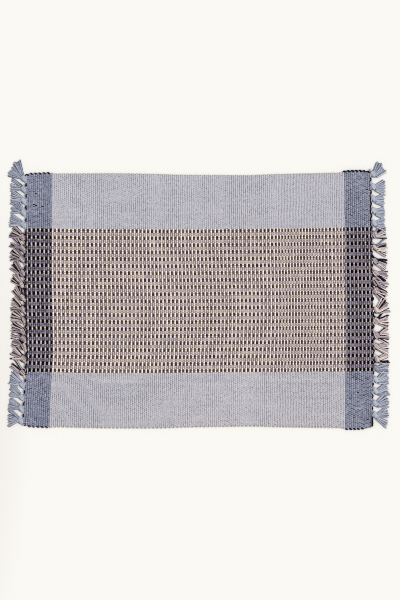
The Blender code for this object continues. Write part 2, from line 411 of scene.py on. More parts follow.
@dataclass
class Layout:
    """Where the picks and ends of the mat lie: the outline, the ribs, and how the cloth has crept.

    A nominal place is a rib's X and an end's Y on a perfectly straight cloth. `place` moves it to where
    it lies in the real, slightly skewed one.
    """

    left_edge: Line = ((-162.0, 232.8), (-130.0, 231.3), (-72.0, 227.6), (20.0, 229.6), (166.0, 228.3))
    right_edge: Line = ((-167.0, 229.4), (-130.0, 229.4), (-72.0, 231.4), (20.0, 229.6), (168.0, 226.6))
    front_edge: Line = (
        (-232.8, 161.8), (-229.2, 165.2), (-224.4, 167.0), (-199.3, 168.3), (-188.8, 167.5),
        (-130.7, 168.7), (-51.5, 169.2), (-11.9, 167.9), (67.3, 166.8), (133.3, 168.0), (186.0, 168.4),
        (194.5, 170.3), (210.0, 170.2), (223.0, 168.8), (229.4, 167.0),
    )
    back_edge: Line = (
        (-228.2, 166.1), (-223.0, 167.9), (-196.7, 169.0), (-187.4, 168.0), (-117.5, 168.3),
        (-51.5, 167.6), (-25.0, 166.6), (67.3, 166.2), (101.6, 167.4), (186.1, 169.0), (194.5, 171.1),
        (215.2, 171.5), (226.6, 169.6),
    )
    # The dash columns in runs woven at one pitch: a run's last column, and how many it adds
    first_dot: float = -223.55
    dot_runs: tuple[tuple[float, int], ...] = (
        (-195.55, 5), (-190.25, 1), (-179.75, 2), (-157.95, 4), (-135.65, 4), (-124.75, 2), (-98.35, 5),
        (-72.35, 5), (-46.95, 5), (-36.55, 2), (-25.95, 2), (-21.05, 1), (-11.65, 2), (-1.65, 2),
        (13.75, 3), (39.15, 5), (59.75, 4), (70.45, 2), (91.05, 4), (101.05, 2), (105.45, 1), (126.15, 5),
        (130.15, 1), (142.95, 3), (163.45, 5), (183.25, 4), (187.55, 1), (191.9, 1), (196.75, 1),
        (202.3, 1), (227.95, 5),
    )
    band_inner: Span = (-194.0, 193.6)  # where the black picks stop
    rows_back: float = 93.94  # the dash rows' outer borders
    rows_front: float = -95.36
    sag: Line = (
        (-210.0, 1.25), (-169.0, 0.2), (-117.0, -0.15), (-60.0, -0.4), (-10.0, -0.2), (41.0, 0.5),
        (94.0, 0.84), (175.0, 1.75), (220.0, 2.3),
    )
    bow: Line = (
        (-229.0, 0.3), (-190.0, 0.5), (-165.0, 1.2), (-108.0, 1.8), (-59.0, 2.1), (-11.0, 2.7),
        (42.0, 2.2), (110.0, 2.0), (134.0, 1.75), (190.0, 0.4), (229.0, 0.3),
    )
    draw_in: Line = (
        (-200.0, 0.0), (-95.0, 0.2), (-40.0, -0.2), (60.0, -0.35), (120.0, -0.05), (200.0, 0.2),
    )
    slant: Line = (
        (-150.0, 0.0), (-80.0, 0.35), (-20.0, 0.0), (40.0, 0.0), (62.0, 0.6), (84.0, 0.95), (112.0, 0.6),
        (145.0, 0.0),
    )
    wander: float = 0.16  # how far the picks weave to and fro outside the rows
    wander_length: float = 5.3  # that for one radian of it
    wander_from: float = 2.0  # it sets in this far outside the rows
    wander_grown: float = 8.0  # and is full after so much more
    drift: float = 1.4  # radians that its phase moves to and fro along the mat
    drift_length: float = 29.0  # that for one radian of the drift
    left_mean: float = 228.9  # where the short edges lie for ribs that don't follow them
    right_mean: float = 230.3
    right_follows: float = 0.5  # the share of the right edge's shape that the last rib takes
    bow_middle: float = -15.0
    bow_reach: float = 100.0
    edge_nominal: float = 168.6
    selvage_inset: float = 1.0  # from the outermost end to the outline, which the selvage turns fill

    rib_x: np.ndarray = field(init=False)
    rib_width: np.ndarray = field(init=False)
    rib_dark: np.ndarray = field(init=False)

    def __post_init__(self) -> None:
        """Works out the ribs: a dark one at each dash column and a cream one half way to the next."""
        dots = [self.first_dot]
        for last, count in self.dot_runs:
            dots += list(np.linspace(dots[-1], last, count + 1)[1:])
        dots = np.array(dots)
        between = (dots[1:] + dots[:-1]) / 2
        first = dots[0] - (between[0] - dots[0])
        ribs = np.empty(2 * len(dots))
        ribs[0] = first
        ribs[1::2] = dots
        ribs[2::2] = between
        self.rib_x = ribs
        self.rib_dark = np.arange(len(ribs)) % 2 == 1
        steps = np.diff(ribs)
        self.rib_width = (np.concatenate((steps[:1], steps)) + np.concatenate((steps, steps[-1:]))) / 2

    def in_band(self, x: np.ndarray) -> np.ndarray:
        """Says which nominal X lie in the two end bands, as booleans."""
        return (x < self.band_inner[0]) | (x > self.band_inner[1])

    def place(self, x: np.ndarray, y: np.ndarray) -> tuple[np.ndarray, np.ndarray]:
        """Moves nominal places to the real cloth.

        X gets the bow, a squared cosine across the width, and the slant, which grows from the middle to
        the outer rows. Outside the rows it wanders by a sine of Y, whose phase drifts along the mat, and it
        follows the side edges by its share of the way to them. Y gets the sag and the draw-in of the rows,
        and outside the rows it is spread to the selvage.

        Args:
            x: Nominal X of each place.
            y: Nominal Y of each place.

        Returns:
            The real X and Y.
        """
        turn = np.clip((y - self.bow_middle) / self.bow_reach, -1, 1) * math.pi / 2
        bowed = x + values(self.bow, x) * np.cos(turn) ** 2
        bowed = bowed + values(self.slant, x) * np.clip(y / self.rows_back, -1, 1)
        free = np.clip((np.abs(y) - self.rows_back - self.wander_from) / self.wander_grown, 0, 1)
        phase = y / self.wander_length + self.drift * np.sin(x / self.drift_length)
        bowed = bowed + self.wander * free * np.sin(phase)
        share = np.clip(-x / CLOTH_LENGTH * 2, 0, 1)
        moved = bowed - (values(self.left_edge, y) - self.left_mean) * share
        share = np.clip(x / CLOTH_LENGTH * 2, 0, 1)
        moved = moved + (values(self.right_edge, y) - self.right_mean) * share * self.right_follows
        sag = values(self.sag, x)
        tight = values(self.draw_in, x) * np.clip(y / self.rows_back, -1, 1)
        back = self.rows_back + sag
        back_out = values(self.back_edge, moved) - self.selvage_inset - back
        front = self.rows_front + sag
        front_out = values(self.front_edge, moved) - self.selvage_inset + front
        far = np.clip((y - self.rows_back) / (self.edge_nominal - self.rows_back), 0, None)
        near = np.clip((self.rows_front - y) / (self.edge_nominal + self.rows_front), 0, None)
        level = np.clip(y, self.rows_front, self.rows_back) + sag + tight
        return moved, level + far * back_out - near * front_out


@dataclass(frozen=True)
class Dyeing:
    """How the floats took up their dye, in tones from 0, deep, to 1, pale.

    A spread is how far single floats differ, a lot how far ribs do, and a streak how far an end does along
    its length.
    """

    blue: float = 0.39
    blue_spread: float = 0.3
    blue_lot: float = 0.08
    blue_streak: float = 0.15
    beaten_lot: float = 0.6  # the share of the lot that the hard beating evens out
    left_deeper: float = 0.14  # how much deeper the front half is at its left end
    left_reach: float = 150.0  # as far left as this
    front_tint: float = 0.3  # the share of the tint that the front half has
    over_black: float = 0.25  # the blue ends in the end bands
    over_black_spread: float = 0.38
    over_black_lot: float = 0.05
    over_black_streak: float = 0.08
    over_black_left: float = -0.035
    over_black_right: float = 0.02
    black: float = 0.17
    black_spread: float = 0.82
    black_power: float = 1.3
    mauve_dark: float = 0.21  # on the ribs that carry the dashes
    mauve_light: float = 0.41  # and on those with the bars
    mauve_spread: float = 0.6
    band_mauve_dark: float = -0.07
    band_mauve_light: float = 0.05
    band_mauve_right: float = 0.38  # how much paler at the right end
    band_mauve_spread: float = 0.96
    right_cream: float = 0.8  # the cream ends' share of their tone in the right band
    hue_power: float = 1.5

    def dye(self, made: dict[str, np.ndarray], draw: np.random.Generator) -> tuple[np.ndarray, np.ndarray]:
        """Draws each float's tone and hue: even in the blue, lively in the rows, dull in the end bands.

        Args:
            made: The floats.
            draw: The source of the random draws.

        Returns:
            Tone and hue, from 0 to 1.
        """
        count = len(made["x"])
        base, hue = draw.uniform(0.0, 1.0, count), draw.uniform(0.0, 1.0, count) ** self.hue_power
        yarn, band, dark = made["yarn"], made["band"] > 0.5, made["dark"] > 0.5
        blue, black, mauve = (yarn == one for one in (Yarn.BLUE, Yarn.BLACK, Yarn.MAUVE))
        right, front, lot, streak = made["x"] > 0, made["y"] < 0, made["lot"], made["streak"]
        shaded = self.over_black + self.over_black_lot * lot + self.over_black_spread * base**2
        shaded = shaded + self.over_black_streak * streak
        shaded = shaded + np.where(right, self.over_black_right, self.over_black_left)
        kept = self.blue_lot * lot * (1 - self.beaten_lot * made["beaten"])
        even = self.blue + self.blue_spread * (base - 0.5) + kept + self.blue_streak * streak
        even = even - self.left_deeper * np.clip(-made["x"] / self.left_reach, 0, 1) * front
        between = np.where(dark, self.mauve_dark, self.mauve_light) + self.mauve_spread * base
        in_band = np.where(dark, self.band_mauve_dark, self.band_mauve_light) + self.band_mauve_right * right
        tone = np.select(
            [blue & band, blue, black & band, black, mauve & band, mauve, band & right],
            [
                shaded,
                even,
                np.zeros(count),
                self.black + self.black_spread * base**self.black_power,
                in_band + self.band_mauve_spread * base,
                between,
                self.right_cream * base,
            ],
            base,
        )
        hue = np.where(blue & ~band & front, self.front_tint * hue, np.where(black & band, 0.0, hue))
        return np.clip(tone, 0, 1), np.clip(hue, 0, 1)


@dataclass(frozen=True)
class FloatShape:
    """How one kind of float swells between the two furrows of its rib."""

    side_height: float  # the outer lines' share of the height
    shoulder: float = 0.68  # the share of the half length where it has come up to its top
    foot_width: float = 0.78  # how wide it still is where it dives into the furrow
    foot: float = 0.95  # the furrow's height in millimetres


class Ends(NamedTuple):
    """The warp ends that one set of ribs lifts: their nominal Y, their sizes, and their dyes."""

    y: np.ndarray
    size: np.ndarray
    yarn: np.ndarray


@dataclass
class Weave:
    """The cloth itself: a ribbed ground and a closed yarn float for each end on each rib."""

    layout: Layout
    rows: int = 21
    row_first: float = 91.61  # the back row's middle
    row_pitch: float = 9.23
    dash_size: float = 2.31  # a dash is two black ends side by side
    bar_size: float = 2.84  # a bar is two cream ends, which are thicker
    band_bar_size: float = 2.25  # the same in the end bands
    bar_shift: float = 0.45  # how far the bars lie behind the dashes between the bands
    blue_ends: int = 28  # on a dark rib, behind the rows and again before them
    blue_level: float = 132.0  # an extra line of the ground half way over them
    ground_crest: float = 1.65  # heights of the sheet under the floats
    ground_furrow: float = 1.0
    under_furrow: float = 0.35
    ground_furrow_shade: float = 0.8  # how far painted shade sinks its colour to the furrow colour there
    wall_spread: float = 0.01  # how far its walls are spread out on the map, as a share
    float_top: float = 2.25
    top_spread: float = 0.14
    inner_line: float = 0.5  # where a float's two inner lines lie, as a share of its half width
    ply_slant: float = 0.8  # how far the plies run across for each step along
    blue_foot_shade: float = 0.57  # how much painted shade a blue float's foot gets, beside the others' full share
    cream_cover: float = 1.1  # in the end bands the cream floats swell past their room
    blue_cover: float = 1.05  # between them the blue ends are packed closer
    left_cover: float = 0.97  # over the black picks they stand a little apart
    right_cover: float = 0.935  # and more so at the right end
    uneven: float = 0.05  # how far a float's width differs
    band_uneven: float = 0.1
    lengths: Span = (0.93, 1.05)  # the least and the most of its rib that a float takes
    band_cream_length: float = 0.93
    stray: float = 0.12  # how far a float lies off its place across, and a blue one
    blue_stray: float = 0.3
    slip: float = 0.1  # how far it lies off its place along
    rib_lot: float = 0.4  # how far the ribs' tones differ
    streak_drift: float = 3.0  # radians that the ends' streaks are apart
    streak_length: float = 38.0  # that for one radian of an end's paler and darker stretches
    weak_from: float = 0.9  # past this an end is thin enough for the black picks to show beside it
    weak_share: float = 0.14  # of its floats that let them show
    weak_left: float = 0.3  # the part of that share at the left end
    weak_width: float = 0.6  # what is left of such a float's width
    beaten_right: float = 120.0  # the cloth is beaten harder towards its front right corner: it is so in
    beaten_front: float = 100.0  # full from this far right and this far front
    beaten_lower: float = 0.12  # how much lower the floats are there
    beaten_foot_shade: float = 0.4  # and how much less painted shade their feet get
    dyeing: Dyeing = Dyeing()
    seed: int = 11

    def ends(self, dark: bool, band: bool) -> Ends:
        """Lists the ends that the dark or the cream ribs lift, from back to front.

        Args:
            dark: True for the ribs that carry the black dashes.
            band: True in the end bands, where the ends are beaten closer round the thin black picks.

        Returns:
            The set's ends.
        """
        layout, rows, pitch = self.layout, self.rows, self.row_pitch
        middles = self.row_first - pitch * np.arange(rows)
        size = self.dash_size if dark else self.band_bar_size if band else self.bar_size
        if not dark:
            middles = middles + (0.0 if band else self.bar_shift)
        pairs = (middles[:, None] + np.array((0.5, -0.5)) * size).ravel()
        rest = pitch - 2 * size
        gaps = middles[:-1] - pitch / 2
        if dark or band:
            between = (gaps[:, None] + np.array((0.5, -0.5)) * rest / 2).ravel()
            between_size = rest / 2
        else:
            between, between_size = gaps, rest
        count = self.blue_ends - (0 if dark else 1)
        blue_y, blue_size = [], []
        for way, border, middle in ((1, layout.rows_back, middles[0]), (-1, layout.rows_front, middles[-1])):
            blue_pitch = (layout.edge_nominal - way * border) / self.blue_ends
            there = border + way * (np.arange(count) + (0.5 if dark else 1.0)) * blue_pitch
            room = np.full(count, blue_pitch)
            slit = way * (there[0] - middle) - blue_pitch / 2 - size  # what is free beside the first end
            there[0] -= way * slit / 2
            room[0] += slit
            blue_y.append(there[::-way])
            blue_size.append(room[::-way])
        y = np.concatenate((blue_y[0], pairs, between, blue_y[1]))
        pair_size, between_size = np.full(len(pairs), size), np.full(len(between), between_size)
        sizes = np.concatenate((blue_size[0], pair_size, between_size, blue_size[1]))
        lead, blue = [Yarn.BLACK if dark else Yarn.CREAM], [Yarn.BLUE] * count
        yarn = np.array(blue + lead * len(pairs) + [Yarn.MAUVE] * len(between) + blue)
        return Ends(y, sizes, yarn)

    def floats(self) -> dict[str, np.ndarray]:
        """Works out every float's middle, half sizes and dye as flat arrays.

        Returns:
            Arrays of one value for each float: the middle x and y, half_x and half_y, the height of its
            top, yarn, whether it is in a band or on a dark rib, how far it is beaten, the share of painted
            shade at its feet, its rib's lot and its end's streak, and its tone and hue.
        """
        layout, draw = self.layout, np.random.default_rng(self.seed)
        sets: list[dict[str, np.ndarray]] = []
        for dark, band in itertools.product((True, False), (True, False)):
            ends = self.ends(dark, band)
            ribs = np.flatnonzero((layout.rib_dark == dark) & (layout.in_band(layout.rib_x) == band))
            rib, end = (a.ravel() for a in np.meshgrid(ribs, np.arange(len(ends.y)), indexing="ij"))
            x, y = layout.place(layout.rib_x[rib], ends.y[end])
            by_rib, by_end = draw.normal(0, 1, len(layout.rib_x)), draw.normal(0, 1, len(ends.y))
            sets.append(
                {
                    "x": x,
                    "y": y,
                    "half_x": layout.rib_width[rib] / 2,
                    "half_y": ends.size[end] / 2,
                    "yarn": ends.yarn[end],
                    "band": np.full(len(rib), float(band)),
                    "dark": np.full(len(rib), float(dark)),
                    "lot": self.rib_lot * by_rib[rib],
                    "streak": by_end[end]
                    * np.cos(x / self.streak_length + self.streak_drift * by_end[end]),
                }
            )
        made = {key: np.concatenate([one[key] for one in sets]) for key in sets[0]}
        count = len(made["x"])
        band, right, yarn = made["band"] > 0.5, made["x"] >= 0, made["yarn"]
        blue, cream = yarn == Yarn.BLUE, yarn == Yarn.CREAM
        cover = np.where(blue, self.blue_cover, 1.0)
        cover = np.where(band & cream, self.cream_cover, cover)
        cover = np.where(band & blue, np.where(right, self.right_cover, self.left_cover), cover)
        uneven = np.where(band & (yarn != Yarn.BLACK), self.band_uneven, self.uneven)
        made["half_y"] = made["half_y"] * cover * (1 + uneven * draw.uniform(-1, 1, count))
        share = np.where(right, 1.0, self.weak_left) * self.weak_share
        weak = band & blue & (np.abs(made["streak"]) > self.weak_from)
        weak = weak & (draw.uniform(0, 1, count) < share)
        made["y"] = made["y"] + np.where(weak, 1 - self.weak_width, 0.0) * made["half_y"]
        made["half_y"] = np.where(weak, self.weak_width, 1.0) * made["half_y"]
        length = np.where(band & cream, self.band_cream_length, 1.0)
        made["half_x"] = made["half_x"] * length * draw.uniform(*self.lengths, count)
        stray = np.where(blue, self.blue_stray, self.stray)
        made["y"] = made["y"] + stray * draw.uniform(-1, 1, count)
        made["x"] = made["x"] + draw.uniform(-self.slip, self.slip, count)
        beaten = np.clip(made["x"] / self.beaten_right, 0, 1) * np.clip(-made["y"] / self.beaten_front, 0, 1)
        lower = draw.uniform(0.0, self.top_spread, count) * (1 - beaten) + self.beaten_lower * beaten
        made["top"] = self.float_top - lower
        made["beaten"] = beaten
        # painted shade at the floats' feet: a share of it for the blue ones, less where beaten hard
        made["shade_share"] = np.where(blue, self.blue_foot_shade - self.beaten_foot_shade * beaten, 1.0)
        made["tone"], made["hue"] = self.dyeing.dye(made, draw)
        return made

    def float_piece(
        self,
        name: str,
        made: dict[str, np.ndarray],
        chosen: np.ndarray,
        finish: CottonYarn,
        shape: FloatShape,
    ) -> bpy.types.Object:
        """Makes one mesh of the chosen floats, each a closed pillow on a grid of four points by four.

        Along X the pillow's middle two lines are at its top and its end lines at its foot, drawn in a
        little; across Y the outer lines lie lower, by the side height. One face closes it below.

        Args:
            name: The piece's name.
            made: All floats.
            chosen: Which of them this piece holds.
            finish: Their finish.
            shape: Their shape.

        Returns:
            The piece.
        """
        along = np.array((-1.0, -shape.shoulder, shape.shoulder, 1.0))
        drawn_in = np.array((shape.foot_width, 1.0, 1.0, shape.foot_width))
        lift = np.array((0.0, 1.0, 1.0, 0.0))
        across = np.array((-1.0, -self.inner_line, self.inner_line, 1.0))
        rounding = np.array((shape.side_height, 1.0, 1.0, shape.side_height))
        x, y, a, b, top, shade_share = (
            made[k][chosen, None, None] for k in ("x", "y", "half_x", "half_y", "top", "shade_share")
        )
        full = (np.count_nonzero(chosen), 4, 4)
        height = lift[None, :, None] * rounding[None, None, :]
        px = np.broadcast_to(x + a * along[None, :, None], full)
        py = np.broadcast_to(y + b * across[None, None, :] * drawn_in[None, :, None], full)
        pz = shape.foot + (top - shape.foot) * height
        points = np.stack((px, py, pz), -1).reshape(-1, 3)
        spot = np.arange(16).reshape(4, 4)
        quads = np.stack((spot[:-1, :-1], spot[1:, :-1], spot[1:, 1:], spot[:-1, 1:]), -1).reshape(-1, 4)
        rim = np.concatenate((spot[0, :], spot[1:, 3], spot[3, 2::-1], spot[2:0:-1, 0]))[None]
        base = 16 * np.arange(full[0])[:, None, None]
        faces = [(base + rim).reshape(-1, 12), (base + quads).reshape(-1, 4)]
        each = {k: np.repeat(made[k][chosen], 16) for k in ("tone", "hue")}
        # painted shade: a float's colour sinks towards the furrow colour as it comes down to its foot
        each["furrow_shade"] = ((1 - height) * shade_share).ravel()
        slanted = a * along[None, :, None] + self.ply_slant * b * across[None, None, :]
        each["ply"] = np.broadcast_to(slanted, full).ravel()
        item = add_piece(name, points, faces, [finish.material()], each)
        add_plan_map(item)
        return item

    def ground(self) -> bpy.types.Object:
        """Makes the closed ribbed sheet under the floats: the picks with the ends drawn round them.

        Each rib is a crest line with a furrow line on both sides. The lines run from selvage to selvage
        through a level at each border of a row. The underside has the same ribs. On the map the walls,
        which have no width in plan, are spread out round the top.

        Returns:
            The sheet.
        """
        layout = self.layout
        ribs, ends = layout.rib_x, layout.rib_width[[0, -1]] / 2
        lines = np.empty(2 * len(ribs) + 1)
        lines[1::2] = ribs
        lines[0::2] = np.concatenate(([ribs[0] - ends[0]], (ribs[1:] + ribs[:-1]) / 2, [ribs[-1] + ends[1]]))
        crest = np.arange(len(lines)) % 2 == 1
        tops = self.row_first + self.dash_size - self.row_pitch * np.arange(self.rows)
        outside = np.outer((-1, 1), (self.blue_level, layout.edge_nominal)).ravel()
        levels = np.sort(np.concatenate((tops, tops - 2 * self.dash_size, outside)))
        gx, gy = np.meshgrid(lines, levels)
        px, py = layout.place(gx, gy)
        # painted shade in the ground's furrows, read by the underside's materials
        pairs = (self.ground_crest, self.ground_furrow), (0.0, self.under_furrow), (0.0, self.ground_furrow_shade)
        high, low, furrow_shade = (np.broadcast_to(np.where(crest, *pair), px.shape) for pair in pairs)
        points = np.concatenate([np.stack((px, py, z), -1).reshape(-1, 3) for z in (high, low)])
        down = px.size
        spot = np.arange(down).reshape(px.shape)
        upper = np.stack((spot[:-1, :-1], spot[:-1, 1:], spot[1:, 1:], spot[1:, :-1]), -1).reshape(-1, 4)
        rim = np.concatenate((spot[0, :-1], spot[:-1, -1], spot[-1, :0:-1], spot[:0:-1, 0]))
        walls = np.stack((rim + down, np.roll(rim, -1) + down, np.roll(rim, -1), rim), -1)
        faces = np.concatenate((upper, walls, upper[:, ::-1] + down))
        draw = np.random.default_rng(self.seed)
        marks = {
            "band": np.tile(layout.in_band(gx).astype(float).ravel(), 2),
            "tone": draw.uniform(0.2, 0.9, 2 * down),
            "hue": draw.uniform(0.0, 1.0, 2 * down) ** 2,
            "furrow_shade": np.tile(furrow_shade.ravel(), 2),
            "ply": points[:, 0],
        }
        dyes = (Yarn.BLUE, Yarn.BLACK, Yarn.CREAM, Yarn.MAUVE)
        materials = [WeftYarn().material()] + [FINISHES[dye].material() for dye in dyes]
        under = self.under_slots(levels, tops)
        slots = np.concatenate((np.zeros(len(faces) - len(under), int), under))
        item = add_piece("woven_ground", points, [faces], materials, marks, slots)
        spread = np.zeros(faces.shape)
        spread[len(upper) : len(upper) + len(walls), :2] = self.wall_spread
        add_plan_map(item, spread.ravel(), np.repeat(np.arange(len(faces)) >= len(faces) - len(under), 4))
        return item

    def under_slots(self, levels: np.ndarray, tops: np.ndarray) -> np.ndarray:
        """Gives the dye of each face of the underside, which shows the ends that the top does not.

        Where the rows run it is black under the cream ribs and cream under the black ones, with mauve
        between the rows.

        Args:
            levels: The ground's levels in rising order.
            tops: The back border of each row of dashes.

        Returns:
            For each face the number of its material: 1 blue, 2 black, 3 cream, 4 mauve.
        """
        middle = (levels[1:] + levels[:-1]) / 2
        blue = (middle > tops[0]) | (middle < tops[-1] - 2 * self.dash_size)
        row = np.isin(np.round(middle, 2), np.round(tops - self.dash_size, 2))
        shown = np.where(np.repeat(self.layout.rib_dark, 2), 3, 2)
        return np.where(blue[:, None], 1, np.where(row[:, None], shown[None, :], 4)).ravel()

    def build(self) -> list[bpy.types.Object]:
        """Makes the ground and the floats.

        Returns:
            The cloth's pieces, the ground first.
        """
        made = self.floats()
        back, band = made["y"] > 0, made["band"] > 0.5
        everywhere = np.ones(len(back), bool)
        sets = (
            ("blue_floats_back", Yarn.BLUE, FINISHES, back & ~band, FloatShape(0.98, 0.72, 1.0, 2.0)),
            ("blue_floats_front", Yarn.BLUE, FINISHES, ~back & ~band, FloatShape(0.98, 0.72, 1.0, 2.0)),
            ("blue_floats_bands", Yarn.BLUE, BAND_FINISHES, band, FloatShape(0.92, 0.7, 0.98, 1.88)),
            ("black_dashes", Yarn.BLACK, FINISHES, everywhere, FloatShape(0.66)),
            ("cream_bars", Yarn.CREAM, FINISHES, ~band, FloatShape(0.74)),
            ("cream_bars_bands", Yarn.CREAM, BAND_FINISHES, band, FloatShape(0.8)),
            ("mauve_floats", Yarn.MAUVE, FINISHES, ~band, FloatShape(0.72, 0.7, 0.88, 1.35)),
            ("mauve_floats_bands", Yarn.MAUVE, BAND_FINISHES, band, FloatShape(0.8, 0.7, 0.9, 1.5)),
        )
        pieces = [self.ground()]
        for name, yarn, finishes, part, shape in sets:
            chosen = part & (made["yarn"] == yarn)
            pieces.append(self.float_piece(name, made, chosen, finishes[yarn], shape))
        return pieces


def tubes(
    paths: np.ndarray, radii: np.ndarray, twist: np.ndarray, lobes: float, sides: int
) -> tuple[np.ndarray, list[np.ndarray]]:
    """Sweeps a two-lobed section along many paths at once.

    At each station the section is a ring of `sides` points across the path's direction. Its radius is
    1 + lobes * cos(2 * angle), and the ring turns with `twist`, so the two lobes wind like plies. The ends
    are closed by one face each.

    Args:
        paths: Stations of each path, shaped (paths, stations, 3).
        radii: Half the thickness at each station, shaped (paths, stations).
        twist: Turn of the section at each station, in radians, shaped (paths, stations).
        lobes: How far the plies stand out.
        sides: Points round the section.

    Returns:
        The points, and the faces as a list of arrays.
    """
    count, stations, _ = paths.shape
    ahead = np.gradient(paths, axis=1)
    ahead /= np.linalg.norm(ahead, axis=2, keepdims=True)
    up = np.array((0.0, 0.0, 1.0))
    across = np.cross(up, ahead)
    length = np.linalg.norm(across, axis=2, keepdims=True)
    across = np.where(length > 1e-3, across / np.maximum(length, 1e-9), np.array((1.0, 0.0, 0.0)))
    over = np.cross(ahead, across)
    angle = np.linspace(0, math.tau, sides, endpoint=False)
    reach = radii[:, :, None] * (1 + lobes * np.cos(2 * (angle - twist[:, :, None])))
    rings = (
        paths[:, :, None, :]
        + reach[..., None] * np.cos(angle)[:, None] * across[:, :, None, :]
        + reach[..., None] * np.sin(angle)[:, None] * over[:, :, None, :]
    )
    points = rings.reshape(-1, 3)
    spot = np.arange(stations * sides).reshape(stations, sides)
    turned = np.roll(spot, -1, axis=1)
    quads = np.stack((spot[:-1], turned[:-1], turned[1:], spot[1:]), -1).reshape(-1, 4)
    base = stations * sides * np.arange(count)[:, None, None]
    ends = np.concatenate((base + spot[0, ::-1], base + spot[-1]), axis=1)
    return points, [(base + quads).reshape(-1, 4), ends.reshape(-1, sides)]


class EndPick(NamedTuple):
    """How the last black pick of one short edge lies.

    `front` is the Y of its front end. `line` says how far it stays in sight along the edge. `mean` and
    `swing` change that along the rows, where it is least under a row's cream ends.
    """

    front: float
    mean: float
    swing: float
    line: Line


